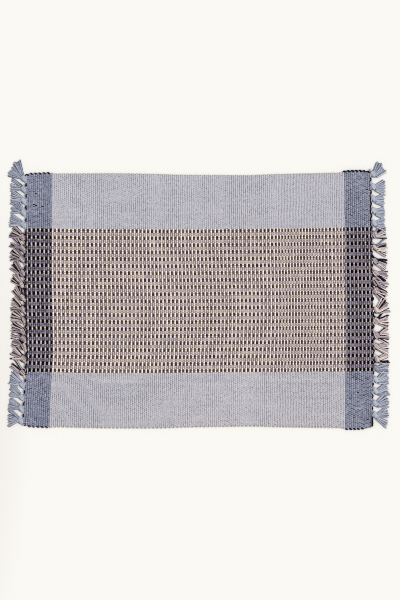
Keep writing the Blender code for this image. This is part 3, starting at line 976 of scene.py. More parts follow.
@dataclass
class Selvage:
    """The weft where it turns at the long edges, and the last black pick along each short edge."""

    layout: Layout
    turn_radius: float = 0.72
    pale_radius: float = 0.5
    band_out: float = 1.2  # how far out the black turns reach, and the pale ones
    middle_out: float = 0.75
    front_out: float = 0.5  # how much further the pale turns stand out along the front edge
    turn_depth: float = 0.8  # how much deeper a turn is than it reaches out
    turn_inset: float = 1.1  # how far in its feet lie
    band_grip: float = 1.45  # half a turn's width, as a share of half the way between its ribs
    middle_grip: float = 1.15
    slants: Span = (0.15, 0.55)  # how much further out one foot is than the middle
    middle_slant: float = 0.3  # the pale turns' share of that
    turn_height: float = 1.25
    turn_rise: float = 0.35
    turn_stations: int = 8
    pick_radius: float = 0.85
    pick_stations: int = 252
    pick_back: float = 164.0
    pick_inset: float = 1.6  # how far in it lies
    pick_height: float = 1.24
    pick_lift: float = 1.1  # how much higher where it is freed
    pick_swell: float = 0.35  # how much thicker it is where it stays in sight
    seen_out: float = 0.8  # how much further out it lies there
    seen_lift: float = 1.6  # and how much higher, in lifts
    ripple: Span = (0.25, 4.6)  # its small ups and downs: how far, and for one of them
    sway: Span = (0.3, 9.25)  # its ins and outs along the edge
    sway_drift: Span = (0.7, 13.0)  # their phase's drift, and the length for a radian
    crossed_at: float = 92.8  # the back row of dashes at the left edge
    crossed_pitch: float = 9.23
    crossed_drift: Span = (0.5, 11.0)
    stout_swell: float = 1.5  # the black turns of the back right corner are doubled
    thin_swell: float = 0.72  # those of the front left one lie half under the ends
    back_shift: float = 2.2  # the black picks begin and end this much further left along the back edge
    front_last: float = 219.5  # past this the front edge's turns are undyed again
    root_behind: float = 4.4  # how far a root lies behind its neck, or before it at the right end
    freed_reach: float = 1.9  # half the length that is free between two roots, and how far out it comes
    freed_out: float = 1.6
    seed: int = 5
    picks: ClassVar[dict[Side, EndPick]] = {
        Side.LEFT: EndPick(-161.0, 0.62, 0.5, ((-96.0, 0.0), (-94.0, 0.75), (93.0, 0.75), (95.0, 0.0))),
        Side.RIGHT: EndPick(-165.8, 0.78, 0.2, (
            (-154.5, 1.3), (-152.5, 0.0), (-96.0, 0.0), (-94.0, 0.16), (92.0, 0.16), (100.0, 0.45),
            (138.0, 0.45), (150.0, 0.0),
        )),
    }

    def turns(self, edge: int) -> tuple[np.ndarray, np.ndarray]:
        """Gives the paths of the turns along one long edge and which of them are black.

        A turn joins two ribs: half an ellipse in plan that starts in one rib, bulges past the outermost
        end and comes back in the next, with one foot a little further out than the other. The turns are
        black in the end bands, but for the last few of the front edge.

        Args:
            edge: 1 for the back edge, -1 for the front one.

        Returns:
            Paths shaped (turns, stations, 3), and booleans.
        """
        layout, draw = self.layout, np.random.default_rng(self.seed + edge)
        ribs, width = layout.rib_x, layout.rib_width
        ribs = np.concatenate(([ribs[0] - width[0]], ribs, [ribs[-1] + width[-1]]))
        pairs = np.arange(0 if edge > 0 else 1, len(ribs) - 1, 2)
        middle = (ribs[pairs] + ribs[pairs + 1]) / 2
        band = layout.in_band(middle + (self.back_shift if edge > 0 else 0.0))
        band = band & ((edge > 0) | (middle < self.front_last))
        x, y = layout.place(middle, np.full(len(pairs), edge * layout.edge_nominal))
        half = (ribs[pairs + 1] - ribs[pairs]) / 2
        out = np.where(band, self.band_out, self.middle_out + (self.front_out if edge < 0 else 0.0))
        turn = np.linspace(math.pi, 0, self.turn_stations)
        grip = np.where(band, self.band_grip, self.middle_grip)[:, None]
        px = x[:, None] + grip * half[:, None] * np.cos(turn)
        slant = draw.uniform(*self.slants, len(pairs))[:, None] * np.cos(turn)
        bulge = (out[:, None] + self.turn_depth) * np.sin(turn) - self.turn_inset
        py = y[:, None] + edge * bulge + slant * np.where(band, 1.0, self.middle_slant)[:, None]
        pz = self.turn_height + self.turn_rise * np.sin(turn) + np.zeros_like(px)
        return np.stack((px, py, pz), -1), band

    def end_pick(self, side: Side, necks: np.ndarray) -> np.ndarray:
        """Gives the path of the last pick, which runs along the short edge and is freed between tassels.

        It lies a little inside the edge. Midway between two roots it comes out and up by a bell curve of
        the distance; where the line of what is seen says so, it stays in sight and waves.

        Args:
            side: The short edge.
            necks: The Y of the tassels' necks, in falling order.

        Returns:
            The path, shaped (1, stations, 3).
        """
        layout = self.layout
        line = layout.left_edge if side is Side.LEFT else layout.right_edge
        y = np.linspace(self.picks[side].front, self.pick_back, self.pick_stations)
        gaps = (necks[1:] + necks[:-1]) / 2 + side.value * self.root_behind
        away = np.abs(y[:, None] - gaps).min(axis=1)
        freed = np.exp(-((away / self.freed_reach) ** 2))
        (drift, drift_length), (sway, sway_pitch) = self.sway_drift, self.sway
        wave = sway * np.sin(math.tau * y / sway_pitch + drift * np.sin(y / drift_length))
        seen = self.seen(side, y)
        out = self.seen_out * seen + self.freed_out * freed + wave
        x = side.value * (values(line, y) - self.pick_inset + out)
        lift = self.pick_lift * np.maximum(freed, self.seen_lift * seen)
        z = self.pick_height + lift + self.ripple[0] * np.cos(math.tau * y / self.ripple[1])
        return np.stack((x, y, z), -1)[None]

    def seen(self, side: Side, y: np.ndarray) -> np.ndarray:
        """Gives how far a side's end pick stays in sight at each Y."""
        pick, (drift, drift_length) = self.picks[side], self.crossed_drift
        turn = math.tau * (y - self.crossed_at) / self.crossed_pitch
        crossed = np.cos(turn + drift * np.sin(y / drift_length))
        return (pick.mean - pick.swing * crossed) * values(pick.line, y)

    def build(self, rows: dict[Side, tuple[Tassel, ...]]) -> list[bpy.types.Object]:
        """Makes the turns, in black and in undyed cotton, and the two end picks.

        Args:
            rows: The tassels of each side, between which the end picks show.

        Returns:
            The pieces.
        """
        (back, back_band), (front, front_band) = self.turns(1), self.turns(-1)
        paths, band = np.concatenate((back, front)), np.concatenate((back_band, front_band))
        weft, turned = WeftYarn().material(), WeftYarn("undyed_weft_turns", "#DDCCBA").material()
        swell = np.sin(np.linspace(0.35, math.pi - 0.35, self.turn_stations)) ** 0.5
        right, rear = paths[:, 0, 0] > 0, paths[:, 0, 1] > 0
        stout = np.where(right & rear, self.stout_swell, np.where(right | rear, 1.0, self.thin_swell))
        pieces = []
        for name, chosen, radius, made, black in (
            ("black_selvage_turns", band, self.turn_radius * stout, weft, 1.0),
            ("pale_selvage_turns", ~band, np.full(len(band), self.pale_radius), turned, 0.0),
        ):
            flat = np.zeros((np.count_nonzero(chosen), self.turn_stations))
            points, faces = tubes(paths[chosen], radius[chosen, None] * swell, flat, 0.0, 6)
            pieces.append(add_piece(name, points, faces, [made], {"band": np.full(len(points), black)}))
        necks = {side: np.array([row.neck for row in row_set]) for side, row_set in rows.items()}
        both = np.concatenate([self.end_pick(side, there) for side, there in necks.items()])
        seen = np.array([self.seen(side, both[k, :, 1]) for k, side in enumerate(rows)])
        radii = self.pick_radius * (1 + self.pick_swell * seen)
        twist = np.arange(both.shape[1])[None] * 0.9 + np.zeros((2, 1))
        points, faces = tubes(both, radii, twist, 0.16, 8)
        pieces.append(add_piece("end_picks", points, faces, [weft], {"band": np.ones(len(points))}))
        return pieces


class Strand(NamedTuple):
    """One yarn of a tassel: its path, half its thickness at each station, its dye and its own tone."""

    path: np.ndarray
    radius: np.ndarray
    yarn: Yarn
    tone: float


class EndHabit(NamedTuple):
    """How the tassels of one short end were tied, and the painted light and shade on their yarns' tones."""

    neck_width: float
    mixed_plump: float  # how much wider a mixed bulb is than its solid, on each side
    mixed_reach: float  # half the width that its ends come from
    partner: Yarn  # what lies beside a black yarn
    blue_painted_light: float
    mixed_painted_light: float


# painted light and shade: the left end's yarns deeper, away from the light from the right, the right end's
# mixed yarns paler
HABITS = {
    Side.LEFT: EndHabit(5.4, 2.1, 7.6, Yarn.CREAM, -0.1, -0.2),
    Side.RIGHT: EndHabit(6.6, 1.5, 6.8, Yarn.BLACK, 0.0, 0.24),
}


@dataclass
class TasselRow:
    """All tassels of one short end: gathered ends, knots, and twisted loose yarns."""

    layout: Layout
    side: Side
    rows: tuple[Tassel, ...]
    habit: EndHabit
    lock_spacing: float = 7.5  # degrees of the fan to a lock
    most_locks: int = 7
    yarn_radius: float = 0.7
    radii: Span = (0.85, 1.08)  # the least and the most of it
    tip: Span = (0.93, 0.7)  # past the first share of its length a yarn is thinned to the second
    mixed_stout: float = 1.12  # the mixed yarns are thicker than the blue ones,
    thin_black: float = 0.92  # and the black ones finer
    pair_offset: float = 0.55  # the outer yarns of a lock lie this far to either side of it
    lobes: float = 0.2  # how far a ply stands out
    turn_length: float = 4.4  # one full turn of the plies
    sides: int = 6
    stations: int = 14
    yarn_stray: float = 1.5  # degrees that a yarn strays from its lock
    lock_stray: float = 3.0  # and the lock from the even fan
    mixed_tousle: float = 1.9  # how much more the mixed yarns do
    wave_turn: float = 6.0  # degrees that a lock waves to a side
    wave_rates: Span = (2.5, 5.0)  # radians of the wave in a yarn's length
    trims: Span = (0.9, 1.12)  # how far the straight cut goes, as shares of the length
    yarn_lengths: Span = (0.82, 1.0)
    lock_lengths: Span = (0.94, 1.04)
    hidden: float = 1.2  # what of a yarn's length lies under its knot
    root_inset: float = 1.4
    rest: float = 1.15  # how high the outer yarns of a lock lie at their tips, in radii,
    rest_over: float = 0.75  # and how much higher the middle one does
    rest_spread: float = 0.15
    rise: float = 0.3  # how much higher they leave the knot in the lowest of three layers,
    layer: float = 1.15  # and how much more in the top one
    fall: float = 1.5  # the power of the way by which they come down
    pale_tones: Span = (0.55, 1.0)  # those of the middle yarns
    # painted shade: the outer yarns of a lock, which lie lower, take deeper tones
    shaded_tones: Span = (0.0, 0.6)
    black_tone: float = 0.06  # the share of its tone that a black yarn keeps
    shade: Span = (0.35, 0.75)  # painted shade: how far a yarn's sides sink to the furrow colour, and how much more its underside
    knot_length: float = 7.4
    knot_width: float = 5.4
    knot_lean: float = 38.0
    knot_gap: float = 0.35
    knot_yarns: int = 7
    knot_top: float = 3.9
    bulb_radius: float = 0.7
    bulb_lean: float = 55.0
    bulb_stray: float = 14.0  # degrees that the mixed knots lean more or less
    bulb_back: float = 0.7  # how far behind its solid's middle a blue bulb lies
    mixed_front: float = 0.3  # and how far before it a mixed one
    plump: float = 0.6  # how much wider a bulb is than its solid, on each side
    plump_stray: float = 0.5
    bulb_shares: Triple = (0.84, 0.8, 0.75)  # how round it is in plan, in height along, and across
    bulb_lift: float = 0.9  # how much higher the bulb's inner end is, over the cloth
    bulb_tones: Span = (0.66, 0.25)  # how pale a blue bulb yarn is at least, and more by draw
    mixed_tones: Span = (0.05, 0.7)
    # painted shadow: the tone of a bulb's last yarn, along its front left side
    shadow_side_tone: float = 0.2
    bind_at: Span = (0.85, 1.15)  # where the two turns bind the neck, in half knots
    bind_inset: float = 0.9
    bind_skew: float = 0.5
    bind_rise: float = 2.1
    bind_radius: float = 0.6
    # painted shade: the binding turns are deep in tone for the crease at the neck
    bind_shade_tone: float = 0.05
    gathered: int = 9
    gather_reach: float = 5.4  # half the width that the ends come from
    gather_stray: float = 0.06
    gather_back: float = 5.4  # how far behind the neck, along the knot, the ends come out of the cloth
    gather_heights: Triple = (1.6, 1.3, 0.9)  # at the cloth, at the knot, and more in its middle
    gather_arch: float = 0.35
    gather_radius: float = 0.68
    gather_tones: Span = (0.4, 1.0)
    seed: int = 23

    draw: np.random.Generator = field(init=False)

    def __post_init__(self) -> None:
        """Starts the random draws, which are the row's own."""
        self.draw = np.random.default_rng(self.seed + self.side.value)

    def edge(self) -> Line:
        """Gives the short edge that this row hangs from."""
        return self.layout.left_edge if self.side is Side.LEFT else self.layout.right_edge

    def heading(self, angle: np.ndarray | float) -> np.ndarray:
        """Gives a level unit direction, `angle` degrees from straight out, to the back if positive."""
        turn = np.radians(angle)
        return np.stack((self.side.value * np.cos(turn), np.sin(turn), np.zeros_like(turn)), -1)

    def axes(self, lean: float) -> tuple[np.ndarray, np.ndarray]:
        """Gives the way a knot points and the level way across it, to the front of the way out.

        Args:
            lean: Degrees from straight out, to the back on the left and to the front on the right.

        Returns:
            Two unit vectors.
        """
        axis = self.heading(np.float64(-self.side.value * lean))
        return axis, np.array((axis[1], -axis[0], 0.0)) * self.side.value

    def neck(self, row: Tassel) -> np.ndarray:
        """Gives the middle of a tassel's neck, with the knot behind it just clear of the cloth's edge.

        Args:
            row: The tassel.

        Returns:
            The point, on the table.
        """
        axis, across = self.axes(self.knot_lean)
        turn = np.linspace(0, math.tau, 12, endpoint=False)
        oval = np.outer(np.cos(turn) * self.knot_length / 2, axis)
        oval = oval + np.outer(np.sin(turn) * self.knot_width / 2, across)
        outline = np.array((0.0, row.neck, 0.0)) - axis * self.knot_length / 2 + oval
        inset = self.side.value * outline[:, 0] - values(self.edge(), outline[:, 1])
        return np.array((self.side.value * (self.knot_gap - inset.min()), row.neck, 0.0))

    def loose(self, row: Tassel) -> list[Strand]:
        """Gives the loose yarns of one tassel: three to a lock, the locks spread over the fan.

        A path leaves the neck at its own height, eases down to the table with a power of the way, and
        turns by the row's bend along its length, with a slow sideways wave. The ends are trimmed nearly
        parallel to the mat's edge: a length goes by the cosine of the fan's middle over its own.

        Args:
            row: The tassel.

        Returns:
            The yarns.
        """
        locks = min(self.most_locks, round(2 * row.half / self.lock_spacing) + 1)
        count = 3 * locks
        lock = np.arange(count) // 3
        hand = np.arange(count) % 3 - 1.0
        share = lock / (locks - 1)
        tousle = self.mixed_tousle if row.locks else 1.0
        angle = row.lean + row.half * (1 - 2 * share)
        angle = angle + self.draw.uniform(-self.yarn_stray, self.yarn_stray, count) * tousle
        angle = angle + self.draw.uniform(-self.lock_stray, self.lock_stray, locks)[lock] * tousle
        t = np.linspace(0, 1, self.stations)
        trim = np.cos(np.radians(row.lean)) / np.maximum(np.cos(np.radians(angle)), 0.1)
        length = row.length * np.clip(trim, *self.trims) * self.draw.uniform(*self.yarn_lengths, count)
        length = length * self.draw.uniform(*self.lock_lengths, locks)[lock] + self.hidden
        swing = tousle * self.draw.uniform(-self.wave_turn, self.wave_turn, locks)[lock, None]
        wave = swing * np.sin(self.draw.uniform(*self.wave_rates, locks)[lock, None] * t)
        ways = self.heading(angle[:, None] + row.bend * t + wave)
        steps = ways * (length / (self.stations - 1))[:, None, None]
        run = np.cumsum(steps, axis=1) - steps
        axis, _ = self.axes(self.knot_lean)
        middle = self.heading(np.float64(row.lean))
        across = np.array((middle[1], -middle[0], 0.0)) * self.side.value
        beside = (share - 0.5) * self.habit.neck_width + hand * self.pair_offset
        apart = np.stack((ways[:, 0, 1], -ways[:, 0, 0], np.zeros(count)), -1) * self.side.value
        spread = apart[:, None, :] * (hand * self.pair_offset)[:, None, None] * t[None, :, None]
        start = self.neck(row) - axis * self.root_inset
        paths = start + (beside[:, None] * across)[:, None, :] + run + spread
        layer = self.draw.permutation(count) % 3 / 2
        rest = self.yarn_radius * (self.rest + self.rest_over * (hand == 0))
        rest = rest + self.draw.uniform(0.0, self.rest_spread, count)
        high = rest + self.rise + self.layer * layer
        paths[:, :, 2] = rest[:, None] + (high - rest)[:, None] * (1 - t) ** self.fall
        tips = np.where(t > self.tip[0], self.tip[1], 1.0)
        radii = self.yarn_radius * self.draw.uniform(*self.radii, count)[:, None] * tips
        # the middle yarn of a lock lies highest and pale, the lower outer ones get painted shade
        pale, deep = self.draw.uniform(*self.pale_tones, count), self.draw.uniform(*self.shaded_tones, count)
        tones = np.where(hand == 0, pale, deep)
        dyes = self.dyes(row.locks or Yarn.BLUE.value, lock / locks, hand)
        full = self.mixed_stout if row.locks else 1.0
        stout = [self.thin_black if dye is Yarn.BLACK else full for dye in dyes]
        return [Strand(paths[k], radii[k] * stout[k], dyes[k], tones[k]) for k in range(count)]

    def dyes(self, letters: str, share: np.ndarray, hand: np.ndarray) -> list[Yarn]:
        """Names the dye of each loose yarn: its lock's own in the middle, and that dye's partners beside.

        Args:
            letters: A letter of Yarn for each lock that was read.
            share: How far along the fan each yarn's lock comes, from 0 to under 1.
            hand: 0 for the middle yarn of a lock, -1 and 1 for those beside it.

        Returns:
            The dyes.
        """
        partners = {
            Yarn.CREAM: (Yarn.MAUVE, Yarn.BLACK),
            Yarn.BLACK: (Yarn.BLACK, self.habit.partner),
            Yarn.MAUVE: (Yarn.BLACK, Yarn.MAUVE),
            Yarn.GREY: (Yarn.GREY, Yarn.BLACK),
            Yarn.BLUE: (Yarn.BLUE, Yarn.BLUE),
        }
        own = [Yarn(letters[k]) for k in (share * len(letters)).astype(int)]
        return [dye if place == 0 else partners[dye][int(place > 0)] for dye, place in zip(own, hand)]

    def knot(self, row: Tassel) -> list[Strand]:
        """Gives one knot: the yarns of its bulb side by side, and two turns that bind its neck.

        A bulb yarn runs the knot's length. It keeps its share of an ellipse's width at each station, and
        its height is the root of one less the squares of both shares, so together they make an oval dome.
        The last one, along the bulb's front left side, has a low tone: painted shadow there.
        A binding turn is a half ellipse across the neck, deep in tone as painted shade in the crease there.

        Args:
            row: The tassel.

        Returns:
            The knot's yarns.
        """
        lean_axis, _ = self.axes(self.knot_lean)
        stray = self.draw.uniform(-1, 1, 2) if row.knot else np.zeros(2)
        axis, across = self.axes(self.bulb_lean + self.bulb_stray * stray[0])
        middle = self.neck(row) - lean_axis * (self.knot_length / 2)
        middle = middle - axis * (-self.mixed_front if row.knot else self.bulb_back)
        letters = row.knot or Yarn.BLUE.value * (self.knot_yarns + 1)
        plump = self.habit.mixed_plump + self.plump_stray * stray[1] if row.knot else self.plump
        least, more = self.mixed_tones if row.knot else self.bulb_tones
        s, radius = np.linspace(-1, 1, 9), self.bulb_radius
        plan, height, side = self.bulb_shares
        made = []
        for k, j in enumerate(np.linspace(-1, 1, self.knot_yarns)):
            belly = np.sqrt(1 - (plan * s) ** 2)
            path = middle + np.outer(s * (self.knot_length / 2 + 0.5), axis)
            path = path + np.outer(j * belly * (self.knot_width / 2 - radius + plump), across)
            dome = np.sqrt(np.clip(1 - (height * s) ** 2, 0, 1) * (1 - side * j**2))
            lift = np.where(s < -0.6, self.bulb_lift, 0.0)
            path[:, 2] = 1.2 * radius + (self.knot_top - 2.2 * radius) * dome + lift
            bright = least + more * self.draw.uniform()
            # the last bulb yarn gets painted shadow
            tone = self.shadow_side_tone if k == self.knot_yarns - 1 else bright
            made.append(Strand(path, np.full(len(s), radius), Yarn(letters[k]), tone))
        sweep = np.linspace(-0.15, math.pi + 0.15, 9)
        for at in self.bind_at:
            foot = middle + axis * (at * self.knot_length / 2)
            path = foot + np.outer(-np.cos(sweep) * (self.knot_width / 2 - self.bind_inset), across)
            path = path + np.outer(np.cos(sweep) * self.bind_skew, axis)
            path[:, 2] = 0.75 + self.bind_rise * np.sin(np.clip(sweep, 0, math.pi))
            bound = np.full(len(sweep), self.bind_radius)
            made.append(Strand(path, bound, Yarn(letters[-1]), self.bind_shade_tone))
        return made

    def gather(self, row: Tassel) -> list[Strand]:
        """Gives the warp ends between the cloth and one knot: straight, drawn together, and rising.

        Args:
            row: The tassel.

        Returns:
            The ends.
        """
        lean_axis, _ = self.axes(self.knot_lean)
        middle = self.neck(row) - lean_axis * (self.knot_length / 2)
        axis, across = self.axes(self.bulb_lean)
        count = self.gathered
        spread = np.linspace(1, -1, count)
        y = row.neck - axis[1] * self.gather_back
        reach = self.habit.mixed_reach if row.knot else self.gather_reach
        y = y + (spread + self.draw.uniform(-self.gather_stray, self.gather_stray, count)) * reach
        at_cloth, at_knot, rise = self.gather_heights
        out = self.side.value * (values(self.edge(), y) - 1.2)
        begin = np.stack((out, y, np.full(count, at_cloth)), -1)
        finish = middle - axis * 1.6 - np.outer(spread * (self.knot_width / 2 - 1.0), across)
        finish[:, 2] = at_knot + rise * (1 - spread**2)
        t = np.linspace(0, 1, 5)[None, :, None]
        paths = begin[:, None] * (1 - t) + finish[:, None] * t
        paths[:, :, 2] += self.gather_arch * np.sin(math.pi * t[..., 0])
        letters = row.locks or Yarn.BLUE.value
        dyes = [Yarn(letters[int(k / count * len(letters))]) for k in range(count)]
        radii = np.full(5, self.gather_radius)
        return [Strand(paths[k], radii, dyes[k], self.draw.uniform(*self.gather_tones)) for k in range(count)]

    def dye_piece(self, yarn: Yarn, groups: list[list[Strand]]) -> bpy.types.Object | None:
        """Joins the strands of one dye into one piece.

        Args:
            yarn: The dye.
            groups: Strands with equal numbers of stations, in one list each.

        Returns:
            The piece, or None where no strand has that dye.
        """
        points, quads, caps, start, sides = [], [], [], 0, self.sides
        marks = {"ply": [], "tone": [], "hue": [], "furrow_shade": []}
        # painted shade on each yarn's sides and underside
        side, foot = self.shade
        shade_share = np.clip(side - foot * np.sin(np.linspace(0, math.tau, sides, endpoint=False)), 0, 1)
        for group in groups:
            kept = [strand for strand in group if strand.yarn is yarn]
            if not kept:
                continue
            paths = np.array([strand.path for strand in kept])
            radii = np.array([strand.radius for strand in kept])
            steps = np.linalg.norm(np.diff(paths, axis=1), axis=2)
            way = np.concatenate((np.zeros((len(kept), 1)), np.cumsum(steps, axis=1)), axis=1)
            twist = self.draw.uniform(0, math.tau, len(kept))[:, None] + way * math.tau / self.turn_length
            found, (sheath, ends) = tubes(paths, radii, twist, self.lobes, sides)
            each = paths.shape[1] * sides
            points.append(found)
            quads.append(sheath + start)
            caps.append(ends + start)
            start += len(found)
            marks["ply"].append(np.repeat(way.ravel(), sides))
            marks["tone"].append(np.repeat([strand.tone for strand in kept], each))
            marks["hue"].append(np.repeat(self.draw.uniform(0.0, 1.0, len(kept)), each))
            marks["furrow_shade"].append(np.tile(shade_share, len(kept) * paths.shape[1]))
        if not points:
            return None
        joined = {key: np.concatenate(parts) for key, parts in marks.items()}
        if yarn is Yarn.BLACK:
            joined["tone"] = self.black_tone * joined["tone"]
        else:
            # painted light and shade by side
            side_light = self.habit.blue_painted_light if yarn is Yarn.BLUE else self.habit.mixed_painted_light
            joined["tone"] = joined["tone"] + side_light
        name = f"{self.side.name.lower()}_tassel_{yarn.name.lower()}"
        faces = [np.concatenate(quads), np.concatenate(caps)]
        item = add_piece(name, np.concatenate(points), faces, [SHADED_LOOSE_FINISHES[yarn].material()], joined)
        item["yarn"] = yarn.value
        return item

    def build(self) -> list[bpy.types.Object]:
        """Makes one piece for each dye: its loose yarns, knot yarns and gathered ends, joined.

        Returns:
            The pieces.
        """
        loose, knots, gathers = [], [], []
        for row in self.rows:
            loose += self.loose(row)
            knots += self.knot(row)
            gathers += self.gather(row)
        pieces = [self.dye_piece(yarn, [loose, knots, gathers]) for yarn in Yarn]
        return [piece for piece in pieces if piece is not None]


@dataclass
class Studio:
    """A plain pale table, even light from all round, a broad light from the right, and the camera."""

    floor_colour: str = "#F1F1EF"
    floor_painted_shadow: str = "#EBE8E6"  # a soft painted shadow on the table by the mat's left end
    painted_shadow_middle: Triple = (-0.31, -0.13, 0.0)
    painted_shadow_reach: Triple = (0.095, 0.42, 1.0)
    floor_half: float = 12.0  # metres, so that no edge of it shows in a low view
    floor_gap: float = 0.02  # millimetres under the mat, so that no two faces fight
    world_colour: tuple[float, float, float, float] = (1.0, 0.988, 0.961, 1.0)
    world_strength: float = 0.652
    key_energy: float = 1.828
    key_colour: Triple = (1.0, 0.988, 0.961)
    key_way: Triple = (1.5, 0.0, 1.7)
    key_angle: float = 27.0
    lens: float = 100.0
    sensor: float = 36.0
    sharpness: float = 1.0  # pixels that a point is spread over
    brightest: float = 4.0  # times white, above which a stray gleam is cut off

    def floor(self) -> bpy.types.Object:
        """Makes the table, level with the mat's underside, with a soft painted shadow by the mat's left end.

        Returns:
            The table.
        """
        corners = ((-1, -1), (1, -1), (1, 1), (-1, 1))
        points = np.array([(x * self.floor_half, y * self.floor_half, 0.0) for x, y in corners]) / MM
        points[:, 2] = -self.floor_gap
        made, tree = new_material("painted_table")
        # painted shadow: the paint turns to the shadow colour near the mat's left end
        place = add_node(tree, "ShaderNodeTexCoord").outputs["Object"]
        offset = add_node(
            tree, "ShaderNodeVectorMath", {0: place, 1: self.painted_shadow_middle}, operation="SUBTRACT"
        )
        scaled = add_node(
            tree, "ShaderNodeVectorMath", {0: offset.outputs[0], 1: self.painted_shadow_reach}, operation="DIVIDE"
        )
        away = add_node(tree, "ShaderNodeVectorMath", {0: scaled.outputs[0]}, operation="LENGTH")
        share = add_node(
            tree,
            "ShaderNodeMapRange",
            {"Value": away.outputs["Value"], "From Min": 1.0, "From Max": 0.45},
            interpolation_type="SMOOTHSTEP",
        )
        paint = add_node(
            tree,
            "ShaderNodeMix",
            {"Factor": share.outputs["Result"], "A": linear(self.floor_colour), "B": linear(self.floor_painted_shadow)},
            data_type="RGBA",
        )
        shader = add_node(
            tree,
            "ShaderNodeBsdfPrincipled",
            {"Base Color": paint.outputs["Result"], "Roughness": 0.85, "Specular IOR Level": 0.1},
        )
        add_node(tree, "ShaderNodeOutputMaterial", {"Surface": shader.outputs[0]})
        item = add_piece("table_top", points, [np.array([[0, 1, 2, 3]])], [made], {})
        return item

    def light(self) -> None:
        """Lights the table: a pale world for the even part, and one broad light from far to the right."""
        world = bpy.data.worlds.new("pale_room")
        bpy.context.scene.world = world
        world.use_nodes = True
        back = world.node_tree.nodes["Background"]
        back.inputs["Color"].default_value = self.world_colour
        back.inputs["Strength"].default_value = self.world_strength
        lamp = bpy.data.lights.new("far_window", "SUN")
        lamp.angle = math.radians(self.key_angle)
        lamp.energy = self.key_energy
        lamp.color = self.key_colour
        item = bpy.data.objects.new("far_window", lamp)
        item.location = self.key_way
        item.rotation_mode = "QUATERNION"
        item.rotation_quaternion = (-Vector(self.key_way)).to_track_quat("-Z", "Y")
        bpy.context.scene.collection.objects.link(item)

    def camera(self) -> None:
        """Looks straight down, far enough that the frame's long side spans its share of the table."""
        data = bpy.data.cameras.new("overhead")
        data.lens, data.sensor_width, data.sensor_fit = self.lens, self.sensor, "AUTO"
        item = bpy.data.objects.new("overhead", data)
        span = max(FRAME_PIXELS) * PIXEL * MM
        item.location = (FRAME_CENTRE[0] * MM, FRAME_CENTRE[1] * MM, span * self.lens / self.sensor)
        bpy.context.scene.collection.objects.link(item)
        bpy.context.scene.camera = item

    def colours(self) -> None:
        """Shows colours as they are mixed, with no film curve, as crisp as a sharp lens gives them."""
        bpy.context.scene.view_settings.view_transform = "Standard"
        bpy.context.scene.view_settings.look = "None"
        bpy.context.scene.cycles.filter_width = self.sharpness
        bpy.context.scene.cycles.use_denoising = False
        bpy.context.scene.cycles.sample_clamp_direct = self.brightest
        bpy.context.scene.cycles.sample_clamp_indirect = self.brightest

    def build(self) -> None:
        """Sets up the table, the light and the camera."""
        self.camera()
        self.floor()
        self.light()
        self.colours()


LEFT_TASSELS = (
    Tassel(164.0, 47, 32, 18.2), Tassel(149.8, 17, 20, 15.0), Tassel(134.9, 12, 24, 14.2),
    Tassel(118.8, 36, 34, 14.5), Tassel(103.0, 13, 22, 15.5),
    Tassel(85.8, 34, 24, 15.4, -8, "mmkckgm", "kmccmmkk"),
    Tassel(71.4, 36, 18, 14.5, 0, "ckmgmg", "kmccmmkk"),
    Tassel(57.0, 33, 34, 14.5, 0, "gkcmkgm", "kgmccmkm"),
    Tassel(38.3, 42, 15, 16.0, 12, "mgckm", "kccmmmkk"),
    Tassel(23.1, 45, 17, 14.0, 6, "mmcmkk", "mkcccmkm"),
    Tassel(6.5, 50, 15, 14.0, 10, "kmcmk", "kmccmmkk"),
    Tassel(-9.2, 30, 28, 14.0, 0, "kckmcmk", "kmccmmkk"),
    Tassel(-23.8, 26, 24, 13.8, -6, "mkcmkcm", "kmcckcmk"),
    Tassel(-38.4, 24, 18, 13.8, 0, "mkckgm", "mkcmcmkk"),
    Tassel(-47.8, 18, 8, 14.0, 4, "kmc", "kmccmmkk"),
    Tassel(-58.6, 27, 15, 14.6, 0, "kmgcm", "kccmckmk"),
    Tassel(-74.3, 26, 26, 15.2, 0, "kcmmmck", "kmcccmkk"),
    Tassel(-92.4, 40, 15, 16.6, 0, "mkkcm", "kgcmcmkk"),
    Tassel(-108.4, 34, 22, 15.8), Tassel(-124.3, 30, 23, 14.6), Tassel(-139.3, 18, 23, 13.6),
    Tassel(-155.5, 8, 36, 13.6),
)
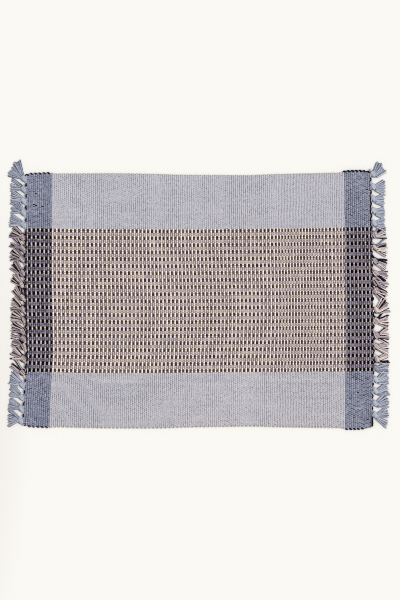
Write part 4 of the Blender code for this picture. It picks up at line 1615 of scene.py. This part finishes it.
RIGHT_TASSELS = (
    Tassel(163.8, 52, 20, 16.2), Tassel(147.0, 10, 28, 12.6), Tassel(131.3, 0, 24, 11.2),
    Tassel(115.5, -4, 22, 11.2), Tassel(99.0, 4, 20, 11.2),
    Tassel(84.5, 28, 24, 13.5, 0, "gkgmccg", "mmcgmmkk"),
    Tassel(68.0, 0, 30, 13.5, 0, "ggkcccm", "kmmcmmkk"),
    Tassel(50.0, -12, 22, 13.5, -24, "kkmgccm", "kgmgmmkk"),
    Tassel(33.5, -14, 15, 13.8, -14, "mgckm", "mmcmmckk"),
    Tassel(21.4, -20, 8, 14.5, 0, "mmk", "kmmkmmkk"),
    Tassel(10.4, -30, 15, 13.5, -8, "mkccm", "mmmcmmkk"),
    Tassel(-14.8, 38, 22, 16.5, 0, "cmkmccm", "mcccmmkk"),
    Tassel(-28.5, 14, 30, 13.6, 0, "kkcmccm", "kmcmmcmk"),
    Tassel(-48.2, 4, 30, 14.0, -12, "mmcmgkc", "kmmmmckk"),
    Tassel(-62.8, -8, 20, 13.2, -6, "mmcmcg", "mmcmcmkk"),
    Tassel(-79.6, 14, 16, 14.0, 14, "mcckm", "kmccmmkk"),
    Tassel(-91.6, 8, 16, 14.5, 0, "bgbgb", "bgbbbgbg"),
    Tassel(-107.3, 22, 20, 14.8), Tassel(-122.6, 24, 19, 15.2), Tassel(-138.5, 22, 20, 15.6),
    Tassel(-154.0, -4, 38, 15.2),
)
TASSELS = {Side.LEFT: LEFT_TASSELS, Side.RIGHT: RIGHT_TASSELS}

def dress(pieces: list[bpy.types.Object], nodes: list[str]) -> None:
    """Rides pieces on the part's one body, logs their triangles, and hides the solids they stand for.

    Args:
        pieces: The pieces, the main one first.
        nodes: The solids that the first piece replaces.
    """
    for item in pieces:
        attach(item, "root")
        item.data.calc_loop_triangles()
        LOG.info("%s: %d triangles", item.name, len(item.data.loop_triangles))
    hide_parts(*nodes)


def main() -> None:
    """Builds the mat round its solids, then the table, the light and the camera."""
    logging.basicConfig(level=logging.INFO, format="%(message)s")
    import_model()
    Studio().build()
    layout = Layout()
    cloth = Weave(layout).build()
    edges = Selvage(layout).build(TASSELS)
    dress(cloth + edges, ["mat_cloth"])
    for side, rows in TASSELS.items():
        tassels = TasselRow(layout, side, rows, HABITS[side]).build()
        word = side.name.lower()
        dress(tassels, [f"tassel_{word}_{k:02d}" for k in range(1, len(rows) + 1)])


if __name__ == "__main__":
    main()
